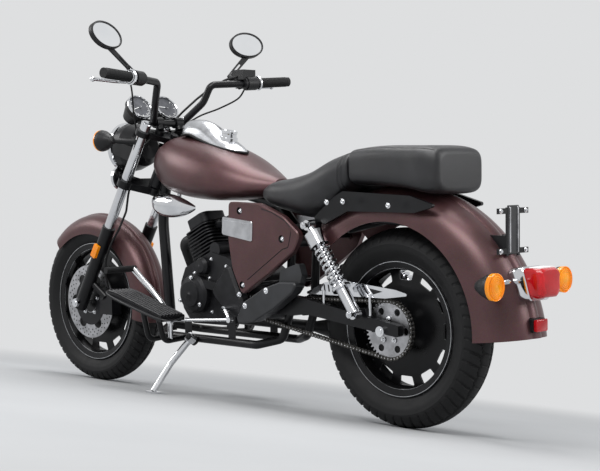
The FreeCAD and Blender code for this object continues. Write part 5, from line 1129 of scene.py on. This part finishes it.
# %% Rims and rings of the signals
REAR_SIGNAL = (-453.0, 167.0, 466.0)
SIGNAL_RIM = ((-2, 38.5), (2, 38.5), (3, 37), (2, 35.5), (-2, 35.5))
signal_shapes = []
for side in (1, -1):
    face = np.array(REAR_SIGNAL) * (1, side, 1)
    signal_shapes.append(turned(face, (-1, 0, 0), SIGNAL_RIM, 48, ring=True))
    for radius in (30, 24, 18, 12):
        ridge = ((3.6, radius + 1.6), (5.2, radius), (3.6, radius - 1.6))
        signal_shapes.append(turned(face, (-1, 0, 0), ridge, 40, ring=True))
piece("rear_signal_rings", signal_shapes, amber_lens, "chassis")

# %% [markdown]
# The tail lamp is a deep red lens in a bright surround, with a clear strip above for the number
# plate and a small reflector below. The strip is drawn white, as a painted highlight. All are boxes
# with round corners, and the joint of lens and surround slants.

# %% Tail lamp
LAMP_SECTIONS = (
    (-462, 38, 434, 506),
    (-466, 44, 428, 511),
    (-488, 46, 427, 513),
    (-512, 45, 430, 512),
    (-521, 40, 436, 507),
    (-523, 32, 444, 499),
)
REFLECTOR_SECTIONS = ((-476, 25, 333, 365), (-489, 27, 332, 367), (-491, 25, 334, 365))
SURROUND_SECTIONS = (
    (-396, 40, 426, 502),
    (-430, 48, 420, 510),
    (-466, 50, 419, 515),
    (-470, 48, 421, 513),
)
STRIP_SECTIONS = ((-470, 36, 509, 514.2), (-508, 35, 509, 515))
CORNER_STEPS = 8
LENS_FACE_X, SLANT_LENGTH, SLANT_CENTRE_Z, SLANT = -521, 50, 470, 0.3


def rounded_box(sections, corner):
    """A closed form from rounded rectangles (x, half width, low, high)."""
    rows = []
    for x, half, low, high in sections:
        for centre_y, centre_z, start in (
            (half - corner, high - corner, 0.0),
            (corner - half, high - corner, 0.5),
            (corner - half, low + corner, 1.0),
            (half - corner, low + corner, 1.5),
        ):
            for angle in np.linspace(start * np.pi, (start + 0.5) * np.pi, CORNER_STEPS):
                y = centre_y + corner * math.cos(angle)
                rows.append((x, y, centre_z + corner * math.sin(angle)))
    return np.array(rows), grid_faces(len(sections), 4 * CORNER_STEPS, lids=True)


def slanted(shape):
    """Slants the joint of lens and surround, and leaves the lamp's flat face upright."""
    points, faces = shape
    share = np.clip((points[:, 0] - LENS_FACE_X) / SLANT_LENGTH, 0, 1)
    points[:, 0] += share * (points[:, 2] - SLANT_CENTRE_Z) * SLANT
    return points, faces


lens_shapes = [slanted(rounded_box(LAMP_SECTIONS, 15)), rounded_box(REFLECTOR_SECTIONS, 4)]
lamp_lens = piece("tail_lamp_lens", lens_shapes, red_lens, "chassis", 40)
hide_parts("tail_lamp")
surround = slanted(rounded_box(SURROUND_SECTIONS, 15))
piece("tail_lamp_surround", [surround], chrome_plate, "chassis", 40)
# The strip is clear, and its white is a painted highlight.
window_highlight = rounded_box(STRIP_SECTIONS, 2.4)
piece("tail_lamp_window_highlight", [window_highlight], white_print_and_highlight, "chassis", 40)

# %% [markdown]
# ## Trim
# A blank bright plate sits in the side cover where such machines carry a badge. It is a thin
# pressing with a raised field, so it is one plate on another.

# %% Blank plates of the side covers
PLATE_OUTLINE = (
    (652, 637), (648, 640), (516, 627), (511, 622), (514, 565), (519, 562), (650, 581), (655, 586)
)
PLATE_FIELD = ((645, 630), (520, 618), (522, 571), (647, 589))
badges = []
for side in (1, -1):
    badges.append(plate(PLATE_OUTLINE, side * 157, side * 163, 1.6))
    badges.append(plate(PLATE_FIELD, side * 162, side * 164.2, 1.2))
piece("cover_plates", badges, satin_chrome, "chassis", 25)

# %% [markdown]
# The footboards have moulded rubber ribs that follow the board's bend, with a bead round them. A
# bright tapering bar runs from the gear lever's pivot up to the toe.

# %% Footboard ribs and toe lever
BOARD_LINE = ((806, 313), (1040, 375.5), (1060, 379), (1081, 382))
BOARD_CORNERS = ((802, 203, 303), (802, 304, 303), (1084, 304, 372), (1084, 203, 372))
FIRST_RIB_Y, LAST_RIB_Y, RIB_COUNT, RIB_RADIUS, BEAD_TUBE_RADIUS = 211, 296, 7, 4.2, 2.5
TOE_ROUTE = ((912, 177, 296), (950, 186, 350), (1078, 190, 448))
ribs = []
for side in (1, -1):
    for y in np.linspace(FIRST_RIB_Y, LAST_RIB_Y, RIB_COUNT):
        ribs.append(tube([(x, side * y, z) for x, z in BOARD_LINE], RIB_RADIUS, 8))
    bead = [(x, side * y, z) for x, y, z in (*BOARD_CORNERS, BOARD_CORNERS[0])]
    ribs.append(tube(smooth_line(bead, 60), BEAD_TUBE_RADIUS, 8))
# Ribs and bead take the lighter rubber, a painted highlight on their tops.
piece("footboard_ribs", ribs, footboard_rubber_highlight, "chassis", 60)

toe_line = smooth_line(TOE_ROUTE, 24)
toe_bar = tube(toe_line, np.linspace(8.5, 11.5, 24), 14)
piece("toe_lever_bar", [toe_bar], chrome_plate, "chassis")

# %% [markdown]
# The filler stands in a raised bright console, a die casting with flared sides on a dark gasket.
# It is one row of sections along the tank, like the seat, with a turned cap set into it. Each
# station is its place, half width, base and top.

# %% Console and filler cap
CONSOLE_STATIONS = (
    (984, 40, 916, 962),
    (975, 46, 918, 967),
    (935, 52, 919, 968),
    (890, 53, 903, 962),
    (850, 52, 889, 944),
    (805, 50, 876, 912),
    (762, 43, 865, 888),
    (727, 27, 857, 870),
    (712, 13, 854, 860),
    (706, 4, 852, 855),
)
CONSOLE_ROWS, CONSOLE_COLUMNS, CONSOLE_SINK = 64, 33, 6
CAP_CENTRE, CAP_WAY = (790, 0, 911), (-0.2, 0, 1)
CAP_PROFILE = (
    (-26, 33), (-8, 33), (-5, 31), (-5, 28), (6, 28), (7, 29.5), (14, 29.5), (16, 28),
    (16, 24), (12, 23), (12.5, 0.5),
)
LOCK_PLACE, LOCK_WAY = (769, 20.5, 914), (-0.72, 0.7, 0)
rows = smooth_line(CONSOLE_STATIONS, CONSOLE_ROWS)
angles = np.linspace(0, np.pi, CONSOLE_COLUMNS)
console = []
for x, half, base, top in rows:
    flare = np.sign(np.cos(angles)) * np.abs(np.cos(angles)) ** 1.25
    low = base - CONSOLE_SINK
    rise = low + (top - low) * np.sin(angles) ** 0.75
    console.append(np.column_stack((np.full(CONSOLE_COLUMNS, x), half * flare, rise)))
cast = (np.vstack(console), grid_faces(CONSOLE_ROWS, CONSOLE_COLUMNS, lids=True))
filler = piece("tank_console_cover", [cast], satin_chrome, "chassis", 30)
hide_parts("tank_console")
cap = turned(CAP_CENTRE, unit(CAP_WAY), CAP_PROFILE, 56)
piece("filler_cap", [cap], chrome_plate, "chassis", 30)
edge = [(x, half + 2, base - 3) for x, half, base, top in rows[1:]]
edge += [(x, -y, z) for x, y, z in reversed(edge)]
piece("console_gasket", [tube(edge, 4.0, 8)], moulded_rubber, "chassis", 60)
lock = turned(LOCK_PLACE, LOCK_WAY, ((-2, 3.5), (1, 3.5)), 14)
piece("filler_lock", [lock], zinc_plate, "chassis")

# %% [markdown]
# The number plate's bracket has a dark moulded middle with two bright pressed ribs. The chain
# guard is slotted. Its solid is whole, so the slots are thin dark plates on its face: painted
# shade where the openings would show the dark behind them.

# %% Plate bracket and chain guard
BRACKET_SECTIONS = ((-393.5, 26, 548, 684), (-391, 28, 546, 686))
RIB_SECTIONS, RIB_Y = ((-396.5, 2.2, 552, 680), (-393, 2.6, 550, 682)), 19
bracket_face = rounded_box(BRACKET_SECTIONS, 3)
piece("bracket_face", [bracket_face], grey_abs, "chassis", 30)
bright_ribs = []
for side in (1, -1):
    points, faces = rounded_box(RIB_SECTIONS, 1)
    bright_ribs.append((points + (0, side * RIB_Y, 0), faces))
piece("bracket_ribs", bright_ribs, brushed_steel, "chassis", 30)

SLOT_NEAR, SLOT_FAR = 101, 104.3
# Dark plates stand in the slots as painted shade.
slot_shadows = []
for x in (262, 244, 226, 208, 190):
    slot = ((x, 412), (x + 6, 412), (x + 10, 434), (x + 4, 434))
    slot_shadows.append(plate(slot, SLOT_NEAR, SLOT_FAR, 0.4))
slot_shadows.append(plate(((48, 413), (66, 432), (10, 424)), SLOT_NEAR, SLOT_FAR, 0.6))
piece("guard_slot_shadows", slot_shadows, moulded_abs, "chassis", 20)

# %% [markdown]
# The front disc is drilled in three staggered rings, which cools it and sheds water, and it sits
# on a black cast carrier. The drillings are drawn as painted shade: dark spots that stand a hair
# proud of the steel.

# %% Drillings and carrier of the front disc
DISC_FACE_Y, HOLE_RADIUS, HOLE_COUNT = 62.0, 3.0, 30
front_centre = axle["front"][[0, 2]]
drilling_shadows = []
for ring_radius, phase in ((126, 0.0), (116, 0.5), (106, 0.0)):
    for spot in round_spots(front_centre, DISC_FACE_Y + 0.1, ring_radius, HOLE_COUNT, phase):
        drilling_shadows.append(turned(spot, (0, 1, 0), ((0, HOLE_RADIUS), (0.15, HOLE_RADIUS)), 12))
piece("disc_drilling_shadows", drilling_shadows, moulded_abs, "front_wheel", 20)
carrier_place = axle["front"] + np.array((0, DISC_FACE_Y, 0))
carrier = turned(carrier_place, (0, 1, 0), ((0, 42), (0, 88), (1.4, 87), (1.8, 42)), 72, ring=True)
piece("disc_carrier", [carrier], cast_alloy, "front_wheel", 25)

# %% [markdown]
# ## Studio
# The floor is pale painted plaster. A real studio's floor curves up into the wall, so that no
# line shows behind the product. Here the floor fades with distance into the room's own colour,
# which hides its edge and needs no curved wall.

# %% Floor
PALE = "#DEDFE0"
FLOOR_REACH, FADE_FROM, FADE_TO = 30.0, 1.4, 3.6
corners = [(-1, -1), (1, -1), (1, 1), (-1, 1)]
floor_mesh = bpy.data.meshes.new("floor")
floor_mesh.from_pydata([(x * FLOOR_REACH, y * FLOOR_REACH, 0) for x, y in corners], [], [(0, 1, 2, 3)])
floor = bpy.data.objects.new("floor", floor_mesh)
bpy.context.scene.collection.objects.link(floor)
floor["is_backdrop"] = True
floor_paint, tree, shader, place = new_material("painted_plaster")
tree.links.new(mottle(tree, place, 900.0, "#B4B5B6", "#B9BABB")[0], shader.inputs["Base Color"])
shader.inputs["Roughness"].default_value = 0.9
shader.inputs["Specular IOR Level"].default_value = 0.1
distance = add_node(tree, "ShaderNodeVectorMath", {0: place}, operation="LENGTH")
far = add_node(
    tree,
    "ShaderNodeMapRange",
    {"Value": distance.outputs["Value"], "From Min": FADE_FROM, "From Max": FADE_TO},
    interpolation_type="SMOOTHSTEP",
)
haze = add_node(tree, "ShaderNodeEmission", {"Color": linear(PALE), "Strength": 1.0})
blend = add_node(
    tree,
    "ShaderNodeMixShader",
    {0: far.outputs["Result"], 1: shader.outputs["BSDF"], 2: haze.outputs["Emission"]},
)
surface = next(node for node in tree.nodes if node.type == "OUTPUT_MATERIAL").inputs["Surface"]
tree.links.new(blend.outputs["Shader"], surface)
floor_mesh.materials.append(floor_paint)
print("floor of", 2 * FLOOR_REACH, "m fades from", FADE_FROM, "to", FADE_TO, "m")

# %% [markdown]
# The room's pale colour reaches only the camera, reflections and clear lenses, through Light
# Path. The light that falls on the machine is a dimmer grey, so the lamps stay at a plain level.

# %% Room
AMBIENT_STRENGTH = 0.45
world = bpy.data.worlds.new("room")
bpy.context.scene.world = world
world.use_nodes = True
tree = world.node_tree
tree.nodes.clear()
path = add_node(tree, "ShaderNodeLightPath")
seen = path.outputs["Is Camera Ray"]
for ray in ("Is Glossy Ray", "Is Transmission Ray"):
    either = add_node(tree, "ShaderNodeMath", {0: seen, 1: path.outputs[ray]}, operation="MAXIMUM")
    seen = either.outputs[0]
light_of_room = {"Color": linear("#DDE2E8"), "Strength": AMBIENT_STRENGTH}
ambient = add_node(tree, "ShaderNodeBackground", light_of_room)
backdrop = add_node(tree, "ShaderNodeBackground", {"Color": linear(PALE), "Strength": 1.0})
mix = add_node(
    tree, "ShaderNodeMixShader", {0: seen, 1: ambient.outputs[0], 2: backdrop.outputs[0]}
)
add_node(tree, "ShaderNodeOutputWorld", {"Surface": mix.outputs[0]})
print("the room lights the machine at", AMBIENT_STRENGTH)

# %% [markdown]
# A large soft lamp on the left gives the broad highlight along the tank, and one above draws the
# seat's edge. Two weaker ones, behind and ahead, keep the black parts from closing up.

# %% Lamps
def softbox(name, place, target, width, height, watts):
    """A rectangular soft lamp that faces a point."""
    data = bpy.data.lights.new(name, "AREA")
    data.shape = "RECTANGLE"
    data.size = width
    data.size_y = height
    data.energy = watts
    lamp = bpy.data.objects.new(name, data)
    lamp.location = place
    aim = Vector(target) - Vector(place)
    lamp.rotation_euler = aim.to_track_quat("-Z", "Y").to_euler()
    bpy.context.scene.collection.objects.link(lamp)
    print(name, watts, "W")


bpy.context.scene.view_settings.view_transform = "Standard"
softbox("key_lamp", (-1.2, 3.4, 3.4), (0, 0, 0.6), 2.6, 1.6, 120)
softbox("top_lamp", (0.2, 0.2, 3.6), (0, 0, 0.5), 3.2, 1.2, 80)
softbox("rim_lamp", (-3.2, -1.4, 2.2), (-0.3, 0, 0.6), 1.4, 2.0, 55)
softbox("front_lamp", (3.4, 2.2, 2.2), (0.6, 0, 0.6), 1.6, 1.8, 55)

# %% [markdown]
# ## Size
# The finishes and small pieces may add a few millimetres to the size of the solids. The box round
# everything shown is printed.

# %% Finish
low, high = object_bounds()
print("visual box", [round(v, 3) for v in (*low, *high)])
